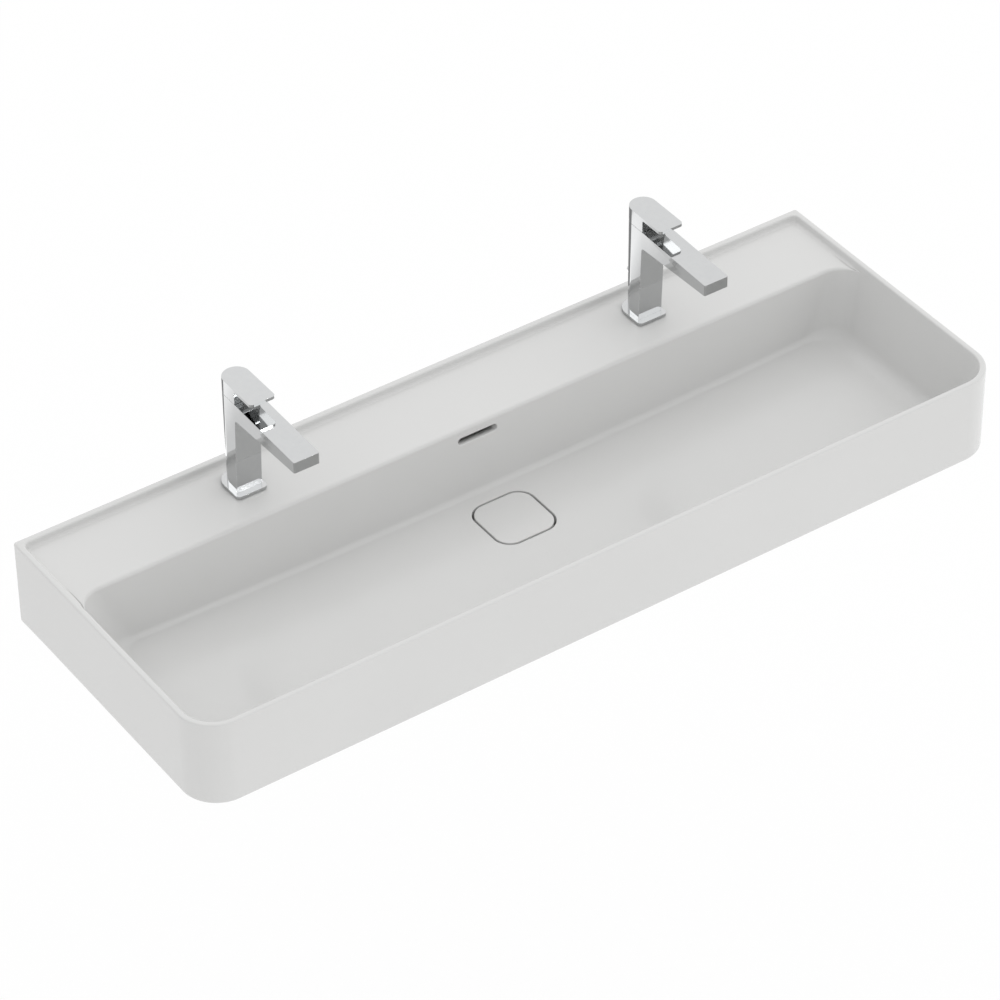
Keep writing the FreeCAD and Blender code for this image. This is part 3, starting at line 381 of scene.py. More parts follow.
# Behind the overflow slot the wall is thickened to a boss, which holds the slot's channel.
rings = np.stack(rings)
hollow = rings[outside_row:inside_row]
boss = (np.abs(hollow[..., 0]) < BOSS_HALF) & (hollow[..., 1] > DRAIN_Y) & (hollow[..., 1] < BOSS_BACK)
hollow[..., 1][boss] = BOSS_BACK
china = Shell(rings)
all_points = china.points[0]

# Bolt holes through the back wall and tap holes through the deck. Each lining is a list of rings, given by
# what they add to the hole's radius and by their place along the hole.
BOLT_LINING = ((1.3, 0), (1, 0), (0.3, -0.3), (0, -1),
               (0, SKIRT_BACK + 1), (1, SKIRT_BACK), (1.3, SKIRT_BACK))
TAP_LINING = ((1, DECK_Z), (0, DECK_Z - 1), (0, DECK_UNDER_Z + 1), (1, DECK_UNDER_Z))
TAP_ROWS = np.array([1, 8])
bolt_rows = np.searchsorted(SKIRT_LEVELS, (-BOLT_WINDOW, BOLT_WINDOW))
for side in (1, -1):
    bolt_columns = sorted(back_column(place, side) for place in (BOLT_FROM, BOLT_TO))
    outside = china.open(*(skirt_row + bolt_rows), *bolt_columns)
    inside = china.open(*(inside_row + len(inside_levels) - 1 - bolt_rows), *bolt_columns)
    around = all_points[outside][:, [0, 2]] - [side * BOLT_X, 0]
    lining = []
    for grown, y in BOLT_LINING:
        ring = hole_ring(around, 0, BOLT_RADIUS + grown) + [side * BOLT_X, 0]
        lining.append(np.column_stack([ring[:, 0], np.full(len(ring), y), ring[:, 1]]))
    china.line(outside, lining, inside)
    tap_columns = sorted(back_column(place, side) for place in (TAP_FROM, TAP_TO))
    above = china.open(*(deck_row + TAP_ROWS), *tap_columns)
    below = china.open(*(under_deck_row + DECK_RINGS + 1 - TAP_ROWS), *tap_columns)
    around = all_points[above][:, :2] - [side * TAP_X, TAP_HOLE_Y]
    lining = []
    for grown, z in TAP_LINING:
        ring = hole_ring(around, 0, TAP_HOLE_RADIUS + grown) + [side * TAP_X, TAP_HOLE_Y]
        lining.append(at_height(ring, z))
    china.line(above, lining, below)

# Overflow slot in the rear wall: a soft lip, given by its growth and depth, and a channel that turns down.
SLOT_ROWS = 8
SLOT_LIP = ((1.9, 0), (1.5, 0), (0.75, 0.2), (0.2, 0.75), (0, 1.5))
slot_loop = china.open(wall_row, wall_row + SLOT_ROWS, back_column(SLOT_FROM), back_column(SLOT_FROM, -1))
around = all_points[slot_loop][:, [0, 2]] - [0, SLOT_Z]
lining = []
for grown, depth in SLOT_LIP:
    ring = hole_ring(around, SLOT_HALF_RUN, SLOT_RADIUS + grown)
    slot_z = ring[:, 1] + SLOT_Z
    lining.append(np.column_stack([ring[:, 0], rear_wall_y(slot_z) + depth, slot_z]))
turn_y = SLOT_END_Y + SLOT_SLOPE * (ring[:, 1] - SLOT_RADIUS)
lining.append(np.column_stack([ring[:, 0], turn_y, slot_z]))
lining.append(np.column_stack([ring[:, 0], turn_y, np.full(len(ring), SLOT_FOOT_Z)]))
china.line(slot_loop, lining)
basin = china.piece("basin")


def linear(code):
    """Linear colour of an sRGB hex value: the low end is a straight line, the rest a 2.4 power curve."""
    part = np.array([int(code[place:place + 2], 16) for place in (1, 3, 5)]) / 255
    return (*np.where(part <= 0.04045, part / 12.92, ((part + 0.055) / 1.055) ** 2.4), 1.0)


def add(tree, kind, inputs=None, **settings):
    """Adds one node: settings first, then each input gets its value, or a link where that is a socket."""
    node = tree.nodes.new("ShaderNode" + kind)
    for name, value in settings.items():
        setattr(node, name, value)
    for name, value in (inputs or {}).items():
        if isinstance(value, bpy.types.NodeSocket):
            tree.links.new(value, node.inputs[name])
        else:
            node.inputs[name].default_value = value
    return node


def start_finish(name):
    """A new material with an empty tree, and the Object coordinates that its patterns follow."""
    material = bpy.data.materials.new(name)
    material.use_nodes = True
    material.node_tree.nodes.clear()
    return material, material.node_tree, add(material.node_tree, "TexCoord").outputs["Object"]


def end_finish(tree, shader):
    """Links a shader to the surface."""
    add(tree, "OutputMaterial", {"Surface": shader.outputs[0]})


# Sockets of a Mix node, by number: its factor, its two colours and the mixed colour.
FACTOR, COLOUR_A, COLOUR_B, MIXED = 0, 6, 7, 2

# Glazed vitreous china, fired: a white body under a thin glassy coat. The eye sees a soft white with weak,
# blurred reflections and a faint sharp sheen, a barely uneven tone over a hand's width, and a slight ripple
# of the run glaze.
TONE_SIZE, RIPPLE_SIZE, PEEL_SIZE = 160.0, 28.0, 2.5
china_glaze, tree, place = start_finish("glazed_vitreous_china")
tone = add(tree, "TexNoise", {"Vector": place, "Scale": 1 / (TONE_SIZE * MM), "Detail": 2.0})
colour = add(tree, "Mix", {FACTOR: tone.outputs[0], COLOUR_A: linear("#D6D6D5"),
                           COLOUR_B: linear("#DADAD9")}, data_type="RGBA")
ripple = add(tree, "TexNoise", {"Vector": place, "Scale": 1 / (RIPPLE_SIZE * MM), "Detail": 1.0})
peel = add(tree, "TexNoise", {"Vector": place, "Scale": 1 / (PEEL_SIZE * MM), "Detail": 1.0})
gloss = add(tree, "MapRange", {"Value": peel.outputs[0], "To Min": 0.2, "To Max": 0.28})
wave = add(tree, "Bump", {"Height": ripple.outputs[0], "Strength": 0.05, "Distance": 0.2 * MM})
end_finish(tree, add(tree, "BsdfPrincipled", {"Base Color": colour.outputs[MIXED],
                                              "Roughness": gloss.outputs[0], "IOR": 1.5,
                                              "Normal": wave.outputs[0],
                                              "Coat Weight": 0.15, "Coat Roughness": 0.05}))


def dress(piece, material, body, slot, *nodes):
    """Gives a piece its material, the body that it rides on and the nodes that it stands for, which it
    hides. The slot is not used.
    """
    piece.data.materials.append(material)
    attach(piece, body)
    if nodes:
        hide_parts(*nodes)


dress(basin, china_glaze, "basin", "vitreous_china", "basin_body")

# Overflow duct: the hollow riser cast behind the bowl, which leads from the slot down to the drain block.
# It is the same vitreous china as the basin. Its front is sunk in the bowl's wall, and a notch in that front
# takes the boss behind the slot.
DUCT_HALF, DUCT_BACK, DUCT_TOP, DUCT_FRONT, DUCT_SUNK, DUCT_EDGE = 37.0, -87.0, 50.0, -156.0, -48.0, 4.0
NOTCH_FOOT, NOTCH_TOP = -24.0, 47.0
NOTCH_ROWS, NOTCH_COLUMNS = slice(6, 8), slice(2, 4)


def soften(piece, width, segments=3):
    """Rounds a piece's sharp edges to the width, with the flat faces' shading kept flat."""
    sharp_angle = 30
    edge = piece.modifiers.new("soft_edges", "BEVEL")
    edge.width = width * MM
    edge.segments = segments
    edge.limit_method = "ANGLE"
    edge.angle_limit = np.radians(sharp_angle)
    edge.harden_normals = True


duct_outline = [(DUCT_BACK, DUCT_TOP), (DUCT_BACK, BLOCK_Z), (DUCT_FRONT, BLOCK_Z), (DUCT_FRONT, DUCT_SUNK)]
for z in (DUCT_SUNK, NOTCH_FOOT, NOTCH_FOOT, NOTCH_TOP, NOTCH_TOP, DUCT_TOP):
    duct_outline.append((rear_wall_y(z) + CHINA_WALL / 2, z))
duct_x = [-DUCT_HALF, -BOSS_HALF, -BOSS_HALF, BOSS_HALF, BOSS_HALF, DUCT_HALF]
duct_grid = np.empty((len(duct_outline), len(duct_x), 3))
duct_grid[..., 0] = duct_x
duct_grid[..., 1:] = np.array(duct_outline)[:, None]
duct_grid[NOTCH_ROWS, NOTCH_COLUMNS, 1] = BOSS_BACK
duct = Shell(duct_grid, wrap_columns=False).piece("overflow_duct", ends=True)
soften(duct, DUCT_EDGE)
dress(duct, china_glaze, "basin", "vitreous_china")

# Waste cover: a loose square tile of the same china that hides the waste, its top edge rounded over.
# It is stuck on the plug disc and rises with it, with a narrow gap to the recess all round.
COVER_HALF, COVER_CORNER, COVER_FOOT, COVER_TOP = 42.4, 21.9, -50.0, -43.0
COVER_LOW_EDGE, COVER_EDGE, COVER_SHARES = 1.0, 0.9, (0.3, 0.65, 1)
cover_plan = square_plan(COVER_HALF, COVER_CORNER)
cover_middle = np.tile([0, DRAIN_Y], (COLUMNS, 1))
cover_rings = [at_height(cover_middle, COVER_FOOT)]
cover_rings += bend(cover_plan, COVER_FOOT, OUT, UP, COVER_LOW_EDGE, count=3)
cover_rings += bend(cover_plan, COVER_TOP, UP, IN, COVER_EDGE, count=6)
cover_rings += between(cover_rings[-1], at_height(cover_middle, COVER_TOP), COVER_SHARES)
cover = Shell(np.stack(cover_rings), wrap_rows=False).piece("waste_cover_tile")
dress(cover, china_glaze, "waste_plug", "vitreous_china", "waste_cover")

# Tap bodies: cast brass, ground flat, polished and chrome plated, bolted down through the deck.
# The column has a half-round back and a flat front that leans out a little to a thin, straight spout.
SIDES = {"left": -1, "right": 1}
TAP_Y = -56.0
BODY_HALF, BODY_FOOT, BODY_TOP, BODY_EDGE = 18.3, 5.0, 147.5, 0.8
FOOT_FRONT, ROOT, ROOT_RADIUS = (-17.5, BODY_FOOT), (-22.0, 122.6), 5.0
TIP_LOW, TIP_TOP, TIP_CORNER, TOP_FRONT = (-156.0, 128.0), (-156.0, 144.0), 2.0, (-23.0, BODY_TOP)
AERATOR_Y, AERATOR_POCKET, POCKET_TOP = -141.0, 11.3, 134.2
POCKET_ROWS_Y, POCKET_STATIONS = (-126.5, -133.5, -141.0, -148.5, -153.2), (7, 25)


def carried_across(outline, half, back_rows=(), front_rows=(), front_radius=0.0, stations=32):
    """A side view of (y, z) points carried across the width, x being half times the sine of an angle.
    Back rows bulge behind by the cosine, a half circle. Front rows are drawn back round the two corners."""
    angle = np.linspace(-np.pi / 2, np.pi / 2, stations + 1)
    x = half * np.sin(angle)
    grid = np.empty((len(outline), len(x), 3))
    grid[..., 0] = x
    grid[..., 1:] = np.asarray(outline, float)[:, None]
    past = np.maximum(np.abs(x) - (half - front_radius), 0)
    grid[list(back_rows), :, 1] += half * np.cos(angle)
    grid[list(front_rows), :, 1] += front_radius - np.sqrt(np.maximum(front_radius ** 2 - past ** 2, 0))
    return grid


def eased(before, corner, after, radius, count):
    """Points of the arc of this radius that rounds one corner of a flat outline."""
    into, out = np.subtract(corner, before), np.subtract(after, corner)
    into, out = into / np.linalg.norm(into), out / np.linalg.norm(out)
    turn = np.arccos(into @ out)
    across = (out - into @ out * into) / np.sin(turn)
    swept = turn * np.linspace(0, 1, count)[:, None]
    start = corner - radius * np.tan(turn / 2) * into
    return list(start + radius * (np.sin(swept) * into + (1 - np.cos(swept)) * across))


def spout_under(y):
    """Height of the spout's underside, a straight line from the column to the tip."""
    return ROOT[1] + (TIP_LOW[1] - ROOT[1]) * (y - ROOT[0]) / (TIP_LOW[0] - ROOT[0])


def tap_seat(side):
    """The middle of a tap's foot on the deck, left or right."""
    return np.array([side * TAP_X, TAP_Y, DECK_Z])


body_outline = [FOOT_FRONT] + eased(FOOT_FRONT, ROOT, TIP_LOW, ROOT_RADIUS, count=7)
pocket_row = len(body_outline)
body_outline += [(y, spout_under(y)) for y in POCKET_ROWS_Y]
pocket_end = len(body_outline) - 1
tip_rows = (pocket_end + 1, pocket_end + 2)
body_outline += [TIP_LOW, TIP_TOP, TOP_FRONT, (0, BODY_TOP), (0, BODY_FOOT)]
body_grid = carried_across(body_outline, BODY_HALF, back_rows=(-2, -1), front_rows=tip_rows,
                           front_radius=TIP_CORNER)

# Polished chrome plate on brass: a mirror that keeps a little over half of the light, slightly cool.
# Buffing leaves it a touch hazier in patches, and the plate keeps a faint waviness of the casting below.
HAZE_SIZE, WAVE_SIZE = 9.0, 45.0
chrome, tree, place = start_finish("polished_chrome_plate")
haze = add(tree, "TexNoise", {"Vector": place, "Scale": 1 / (HAZE_SIZE * MM), "Detail": 3.0})
tint = add(tree, "Mix", {FACTOR: haze.outputs[0], COLOUR_A: linear("#BCBDBE"),
                         COLOUR_B: linear("#C2C3C3")}, data_type="RGBA")
shine = add(tree, "MapRange", {"Value": haze.outputs[0], "To Min": 0.03, "To Max": 0.07})
casting = add(tree, "TexNoise", {"Vector": place, "Scale": 1 / (WAVE_SIZE * MM), "Detail": 0.0})
sway = add(tree, "Bump", {"Height": casting.outputs[0], "Strength": 0.03, "Distance": 0.1 * MM})
end_finish(tree, add(tree, "BsdfPrincipled", {"Base Color": tint.outputs[MIXED], "Metallic": 1.0,
                                              "Roughness": shine.outputs[0], "Normal": sway.outputs[0]}))

for name, side in SIDES.items():
    seat = tap_seat(side)
    shell = Shell(body_grid + seat, wrap_columns=False)
    loop = shell.open(pocket_row, pocket_end, *POCKET_STATIONS)
    around = body_grid.reshape(-1, 3)[loop][:, :2] - [0, AERATOR_Y]
    ring = hole_ring(around, 0, AERATOR_POCKET) + [0, AERATOR_Y]
    mouth = np.column_stack([ring, spout_under(ring[:, 1])])
    shell.line(loop, [mouth + seat, at_height(ring, POCKET_TOP) + seat])
    body = shell.piece(name + "_tap_casting", ends=True)
    soften(body, BODY_EDGE)
    dress(body, chrome, "basin", "polished_chrome", name + "_tap_body")

# Base plates: pressed brass, chrome plated, that close the tap hole under each column.
# Their round back is drawn out behind the column to take the lift rod.
PLATE_HALF, PLATE_FOOT, PLATE_TOP, PLATE_EDGE = 22.3, 0.8, 5.0, 1.1
PLATE_FRONT, PLATE_ARC_Y, PLATE_CORNER = -26.3, 6.0, 6.0
plate_outline = [(PLATE_FRONT, PLATE_FOOT), (PLATE_FRONT, PLATE_TOP),
                 (PLATE_ARC_Y, PLATE_TOP), (PLATE_ARC_Y, PLATE_FOOT)]
plate_grid = carried_across(plate_outline, PLATE_HALF, back_rows=(2, 3), front_rows=(0, 1),
                            front_radius=PLATE_CORNER)
for name, side in SIDES.items():
    shell = Shell(plate_grid + tap_seat(side), wrap_columns=False)
    plate = shell.piece(name + "_foot_plate", ends=True)
    soften(plate, PLATE_EDGE)
    dress(plate, chrome, "basin", "polished_chrome", name + "_base_plate")

# Levers: die-cast zinc, polished and chrome plated, one thin blade over a hub with a half-round back.
# A grub screw holds each on its cartridge stem, and the heel is cut away so that it can tilt.
LEVER_FOOT, LEVER_TOP, BLADE_FOOT, BLADE_FRONT, HUB_FRONT = 147.9, 170.0, 166.0, -61.0, -23.0
BLADE_CORNER, BLADE_ROOT, HEEL_START, HEEL_RISE, LEVER_EDGE = 5.0, 2.5, 3.0, 5.0, 0.7
hub_low, hub_high, blade_low = (HUB_FRONT, LEVER_FOOT), (HUB_FRONT, BLADE_FOOT), (BLADE_FRONT, BLADE_FOOT)
lever_outline = [hub_low] + eased(hub_low, hub_high, blade_low, BLADE_ROOT, count=5)
lever_outline += [blade_low, (BLADE_FRONT, LEVER_TOP), (0, LEVER_TOP), (0, LEVER_FOOT), (0, LEVER_FOOT)]
lever_grid = carried_across(lever_outline, BODY_HALF, back_rows=(-3, -2, -1), front_rows=(-5, -4),
                            front_radius=BLADE_CORNER)

# The heel is cut between the last two rows: one rises evenly to the back, the other ends where that starts.
heel_run = BODY_HALF - HEEL_START
lever_grid[-2, :, 2] += HEEL_RISE * np.maximum(lever_grid[-2, :, 1] - HEEL_START, 0) / heel_run
lever_grid[-1, :, 1] = np.minimum(lever_grid[-1, :, 1], HEEL_START)
for name, side in SIDES.items():
    shell = Shell(lever_grid + tap_seat(side), wrap_columns=False)
    lever = shell.piece(name + "_lever_casting", ends=True)
    soften(lever, LEVER_EDGE)
    dress(lever, chrome, name + "_handle", "polished_chrome", name + "_lever")

# Lift rods: drawn brass rod behind each column, chrome plated, with a turned knob that flares upward.
# Each slides through its base plate, and a collar under the deck stops it.
ROD_Y, ROD_RADIUS, ROD_FOOT, ROD_CHAMFER = 24.7, 2.0, -85.0, 0.5
KNOB_FOOT, KNOB_TOP, KNOB_NECK, KNOB_HEAD, KNOB_ROUND = 39.0, 57.0, 2.9, 5.2, 1.5
KNOB_CHAMFER, KNOB_COLLAR, KNOB_FLAT, TURNED_EDGE = 0.4, 1.0, 3.5, 0.2
FLARE_FOOT, FLARE_TOP, FLARE_WAIST, FLARE_POINTS = 4.0, 15.5, 0.35, 12


def turned(profile, x, y, name, segments=48):
    """A profile of (radius, height) points spun round an upright axis at (x, y)."""
    radius, z = np.asarray(profile, float).T[..., None]
    angle = np.linspace(0, 2 * np.pi, segments, endpoint=False)
    grid = np.stack(np.broadcast_arrays(x + radius * np.cos(angle), y + radius * np.sin(angle), z), -1)
    return Shell(grid, wrap_rows=False).piece(name)


flare = np.linspace(0, 1, FLARE_POINTS)
flare_radius = KNOB_NECK + flare * (KNOB_HEAD - KNOB_NECK) - FLARE_WAIST * np.sin(np.pi * flare)
flare_z = KNOB_FOOT + FLARE_FOOT + flare * (FLARE_TOP - FLARE_FOOT)
head = eased((KNOB_HEAD, KNOB_FOOT), (KNOB_HEAD, KNOB_TOP), (0, KNOB_TOP), KNOB_ROUND, count=6)
knob_profile = [(0, KNOB_FOOT), (KNOB_NECK - KNOB_CHAMFER, KNOB_FOOT),
                (KNOB_NECK, KNOB_FOOT + KNOB_CHAMFER), (KNOB_NECK, KNOB_FOOT + KNOB_COLLAR),
                *zip(flare_radius, flare_z), *head, (KNOB_FLAT, KNOB_TOP), (0, KNOB_TOP)]
rod_profile = [(0, ROD_FOOT), (ROD_RADIUS - ROD_CHAMFER, ROD_FOOT), (ROD_RADIUS, ROD_FOOT + ROD_CHAMFER),
               (ROD_RADIUS, KNOB_FOOT), (0, KNOB_FOOT)]
for name, side in SIDES.items():
    for profile, part in ((knob_profile, "lift_knob"), (rod_profile, "lift_rod")):
        raised = np.add(profile, (0, DECK_Z))
        made = turned(raised, side * TAP_X, TAP_Y + ROD_Y, f"{name}_turned_{part}")
        soften(made, TURNED_EDGE, segments=2)
        dress(made, chrome, name + "_rod", "polished_chrome", f"{name}_{part}")

# Hidden fittings: valve parts, seals, fixings and the waste below, which keep their exact machined solids.
# Each group gets the finish that its maker leaves on it.
GRAIN_SIZE, GRAIN_STRETCH, LATHE_STEP, MOULD_SIZE = 0.6, 0.08, 0.5, 1.5
WAVE_FACTOR = 20

# Turned brass: a warm yellow metal whose cutting rings catch the light in bands. A lathe leaves them too
# close to show, so the wave, which Blender runs at 20 radians to the unit, draws them some 3 mm apart.
brass, tree, place = start_finish("turned_brass")
cut_rings = add(tree, "TexWave", {"Vector": place, "Scale": 1 / (LATHE_STEP * MM) / WAVE_FACTOR,
                                  "Distortion": 1.5}, bands_direction="Z")
cut = add(tree, "Mix", {FACTOR: cut_rings.outputs[1], COLOUR_A: linear("#B08D4C"),
                        COLOUR_B: linear("#C7A560")}, data_type="RGBA")
matte = add(tree, "MapRange", {"Value": cut_rings.outputs[1], "To Min": 0.22, "To Max": 0.36})
end_finish(tree, add(tree, "BsdfPrincipled", {"Base Color": cut.outputs[MIXED], "Metallic": 1.0,
                                              "Roughness": matte.outputs[0]}))

# Brushed stainless steel: a neutral grey metal with fine straight scratches and satin reflections. The
# scratches are drawn wider than the belt leaves them, so that they show.
steel, tree, place = start_finish("brushed_stainless_steel")
stretch = add(tree, "Mapping", {"Vector": place, "Scale": (1.0, GRAIN_STRETCH, 1.0)})
grain = add(tree, "TexNoise", {"Vector": stretch.outputs[0], "Scale": 1 / (GRAIN_SIZE * MM), "Detail": 2.0})
grey = add(tree, "Mix", {FACTOR: grain.outputs[0], COLOUR_A: linear("#9A9B9C"),
                         COLOUR_B: linear("#B9BABB")}, data_type="RGBA")
satin = add(tree, "MapRange", {"Value": grain.outputs[0], "To Min": 0.25, "To Max": 0.42})
end_finish(tree, add(tree, "BsdfPrincipled", {"Base Color": grey.outputs[MIXED], "Metallic": 1.0,
                                              "Roughness": satin.outputs[0]}))

# Moulded and lapped finishes, which share a fine speckle: rubber is nearly black and dull, acetal a milky
# white with a soft sheen, and lapped alumina a warm white that is smooth enough to gleam.
moulded = {}
for slot, finish_name, dark, light, low, high in (
        ("black_rubber", "moulded_black_rubber", "#151515", "#232323", 0.55, 0.8),
        ("white_plastic", "moulded_white_acetal", "#D8D7D2", "#E4E3DF", 0.35, 0.5),
        ("alumina", "lapped_alumina_ceramic", "#DEDBD2", "#EBE9E3", 0.15, 0.3)):
    moulded[slot], tree, place = start_finish(finish_name)
    speck = add(tree, "TexNoise", {"Vector": place, "Scale": 1 / (MOULD_SIZE * MM), "Detail": 3.0})
    shade = add(tree, "Mix", {FACTOR: speck.outputs[0], COLOUR_A: linear(dark),
                              COLOUR_B: linear(light)}, data_type="RGBA")
    dull = add(tree, "MapRange", {"Value": speck.outputs[0], "To Min": low, "To Max": high})
    texture = add(tree, "Bump", {"Height": speck.outputs[0], "Strength": 0.15, "Distance": 0.05 * MM})
    end_finish(tree, add(tree, "BsdfPrincipled", {"Base Color": shade.outputs[MIXED],
                                                  "Roughness": dull.outputs[0],
                                                  "Normal": texture.outputs[0]}))

fitting_finishes = {"brass": brass, "stainless_steel": steel, "polished_chrome": chrome,
                    "vitreous_china": china_glaze, **moulded}
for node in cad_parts.values():
    slot = node.data.materials[0].name
    node.material_slots[0].material = fitting_finishes[slot.split(".")[0]]

# Stage: a wide pale floor far below the hung basin, its sizes in metres, under an even white sky.
# The floor shows white to the camera and in the chrome, and keeps a share of its own shading for the shadow.
# From below it is seen through, so that the basin's underside shows.
FLOOR_LEVEL, FLOOR_HALF, FLOOR_GLOW = -0.85, 9.0, 0.92


def stage_sheet(name, x_from, x_to, y_from, y_to, z):
    """A flat level sheet of the stage between two plan corners, in metres, with its empty material."""
    mesh = bpy.data.meshes.new(name)
    corners = [(x_from, y_from, z), (x_to, y_from, z), (x_to, y_to, z), (x_from, y_to, z)]
    mesh.from_pydata(corners, [], [(0, 1, 2, 3)])
    sheet = bpy.data.objects.new(name, mesh)
    bpy.context.scene.collection.objects.link(sheet)
    finish, tree, place = start_finish(name + "_finish")
    mesh.materials.append(finish)
    return sheet, tree, place


_, tree, _ = stage_sheet("studio_floor", -FLOOR_HALF, FLOOR_HALF, -FLOOR_HALF, FLOOR_HALF, FLOOR_LEVEL)
path = add(tree, "LightPath").outputs
seen = add(tree, "Math", {0: path["Is Camera Ray"], 1: path["Is Glossy Ray"]}, operation="MAXIMUM")
share = add(tree, "Math", {0: seen.outputs[0], 1: FLOOR_GLOW}, operation="MULTIPLY")
lit = add(tree, "BsdfDiffuse", {"Color": linear("#FCFCFC")})
glow = add(tree, "Emission", {"Color": linear("#FFFFFF"), "Strength": 1.0})
above = add(tree, "MixShader", {0: share.outputs[0], 1: lit.outputs[0], 2: glow.outputs[0]})
below = add(tree, "NewGeometry").outputs["Backfacing"]
clear = add(tree, "BsdfTransparent")
end_finish(tree, add(tree, "MixShader", {0: below, 1: above.outputs[0], 2: clear.outputs[0]}))

# Sky: an even white that is a little stronger from the right. Reflections show another sky, which grows
# brighter towards the back and never falls below a least level in front. The last line of values numbers a
# Mix node's two plain inputs.
SKY_TILT, MIRROR_TILT, MIRROR_LEVEL, MIRROR_LEAST = (0.26, 0.05, 0.0), (0.1, 0.75, 0.25), 0.55, 0.65
NUMBER_A, NUMBER_B = 2, 3
world = bpy.data.worlds.new("white_sky")
bpy.context.scene.world = world
world.use_nodes = True
tree = world.node_tree
tree.nodes.clear()
direction = add(tree, "TexCoord").outputs["Generated"]
even = add(tree, "VectorMath", {0: direction, 1: SKY_TILT}, operation="DOT_PRODUCT")
light = add(tree, "Math", {0: even.outputs["Value"], 1: 1.0}, operation="ADD")
overhead = add(tree, "VectorMath", {0: direction, 1: MIRROR_TILT}, operation="DOT_PRODUCT")
rising = add(tree, "Math", {0: overhead.outputs["Value"], 1: MIRROR_LEVEL}, operation="ADD")
mirrored = add(tree, "Math", {0: rising.outputs[0], 1: MIRROR_LEAST}, operation="MAXIMUM")
glossy = add(tree, "LightPath").outputs["Is Glossy Ray"]
level = add(tree, "Mix", {FACTOR: glossy, NUMBER_A: light.outputs[0], NUMBER_B: mirrored.outputs[0]})
sky = add(tree, "Background", {"Color": linear("#FFFFFF"), "Strength": level.outputs[0]})
add(tree, "OutputWorld", {"Surface": sky.outputs[0]})

# Reflector card: a see-through sheet just over the floor behind the basin, which the chrome alone mirrors.
# A strip across it adds white, stronger to the right, where it fills the near part as well.
# The far part dims the floor behind it and so edges the round columns.
CARD_LIFT, CARD_SLANT, FAR_DIM = 0.002, (0.12, 1.0, 0.0), 0.33
card, tree, place = stage_sheet("reflector_card", x_from=-1.13, x_to=1.8, y_from=0.74, y_to=2.0,
                                z=FLOOR_LEVEL + CARD_LIFT)
across = add(tree, "SeparateXYZ", {"Vector": place}).outputs["X"]
depth = add(tree, "VectorMath", {0: place, 1: CARD_SLANT}, operation="DOT_PRODUCT").outputs["Value"]
white = add(tree, "MapRange", {"Value": across, "From Min": -0.6, "From Max": 1.15,
                               "To Min": 0.45, "To Max": 2.6})
strip = add(tree, "MapRange", {"Value": depth, "From Min": 0.93, "From Max": 1.03})
right_end = add(tree, "MapRange", {"Value": across, "From Min": 0.1, "From Max": 0.25})
far = add(tree, "MapRange", {"Value": depth, "From Min": 1.1, "From Max": 1.13})
bright = add(tree, "Math", {0: strip.outputs[0], 1: right_end.outputs[0]}, operation="MAXIMUM")
rise = add(tree, "Math", {0: bright.outputs[0], 1: white.outputs[0]}, operation="MULTIPLY")
fall = add(tree, "Mix", {FACTOR: far.outputs[0], NUMBER_A: rise.outputs[0], NUMBER_B: 0.0})
dim = add(tree, "Mix", {FACTOR: far.outputs[0], NUMBER_A: 1.0, NUMBER_B: FAR_DIM})
through = add(tree, "BsdfTransparent", {"Color": dim.outputs[0]})
added = add(tree, "Emission", {"Color": linear("#FFFFFF"), "Strength": fall.outputs[0]})
end_finish(tree, add(tree, "AddShader", {0: through.outputs[0], 1: added.outputs[0]}))
card.visible_camera = False
card.visible_diffuse = False
card.visible_shadow = False


def both_sides(name, *parts):
    """A collection of the left and right pieces of these kinds, for a lamp or card meant for them alone."""
    chosen = bpy.data.collections.new(name)
    for side in SIDES:
        for part in parts:
            chosen.objects.link(bpy.data.objects[f"{side}_{part}"])
    return chosen


card.light_linking.receiver_collection = both_sides(
    "chrome_pieces", "tap_casting", "foot_plate", "lever_casting", "turned_lift_knob", "turned_lift_rod")

# Lamps: two soft panels, in front on the right and behind on the left, that light the tap bodies and their
# foot plates alone, and one small lamp in front that gives glints. Places and sizes are in metres.
tap_pieces = both_sides("tap_pieces", "tap_casting", "foot_plate")


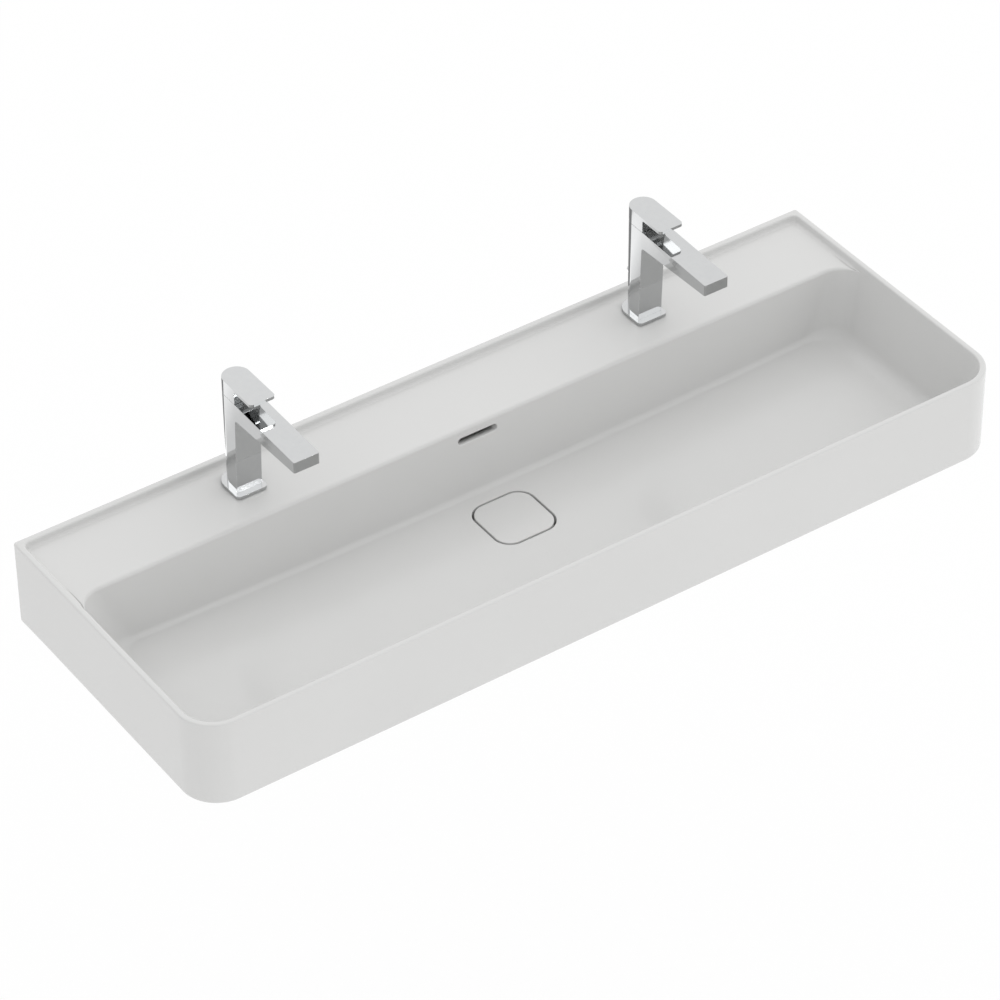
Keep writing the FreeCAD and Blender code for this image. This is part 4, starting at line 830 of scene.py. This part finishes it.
def soft_lamp(name, place, aim, size, brightness, lit_pieces=None):
    """A flat soft lamp that faces a point. Its power follows from its brightness, where 1 is white.
    With a collection given, it lights those pieces alone."""
    lamp = bpy.data.objects.new(name, bpy.data.lights.new(name, "AREA"))
    lamp.data.shape = "RECTANGLE"
    lamp.data.size, lamp.data.size_y = size
    lamp.data.energy = brightness * np.pi * size[0] * size[1]
    back = np.subtract(place, aim) / np.linalg.norm(np.subtract(place, aim))
    right = np.cross((0, 0, 1), back)
    right /= np.linalg.norm(right)
    axes = np.column_stack([right, np.cross(back, right), back, place])
    lamp.matrix_world = Matrix(np.vstack([axes, [0, 0, 0, 1]]).tolist())
    lamp.visible_camera = False
    if lit_pieces:
        lamp.light_linking.receiver_collection = lit_pieces
    bpy.context.scene.collection.objects.link(lamp)


soft_lamp("front_panel", place=(1.69, -2.6, 2.45), aim=(0, -0.08, 0.06), size=(1.8, 1.3), brightness=1.7,
          lit_pieces=tap_pieces)
soft_lamp("back_panel", place=(-1.69, 2.46, 2.45), aim=(0, -0.06, 0.06), size=(1.1, 0.8), brightness=1.9,
          lit_pieces=tap_pieces)
soft_lamp("glint_lamp", place=(1.18, -2.55, 2.6), aim=(-0.5, -0.02, 0.06), size=(0.12, 0.12),
          brightness=30.0)

# Camera: a long lens from the left front, looking down at about forty degrees, some six metres away.
# Its axes come from azimuth and elevation, and a slight roll turns them about the line of sight.
CAMERA_PLACE, LENS, SENSOR = (-2.5468, -3.8853, 3.6645), 166.11, 36.0
AZIMUTH, ELEVATION, ROLL = np.radians((-34.458, 39.421, -0.483))
camera = bpy.data.objects.new("camera", bpy.data.cameras.new("camera"))
camera.data.lens = LENS
camera.data.sensor_width = SENSOR
level_reach = np.cos(ELEVATION)
back = np.array([np.sin(AZIMUTH) * level_reach, -np.cos(AZIMUTH) * level_reach, np.sin(ELEVATION)])
right = np.array([np.cos(AZIMUTH), np.sin(AZIMUTH), 0])
up = np.cross(back, right)
axes = np.column_stack([np.cos(ROLL) * right + np.sin(ROLL) * up, np.cos(ROLL) * up - np.sin(ROLL) * right,
                        back, CAMERA_PLACE])
camera.matrix_world = Matrix(np.vstack([axes, [0, 0, 0, 1]]).tolist())
bpy.context.scene.collection.objects.link(camera)
bpy.context.scene.camera = camera
bpy.context.scene.view_settings.view_transform = "Standard"
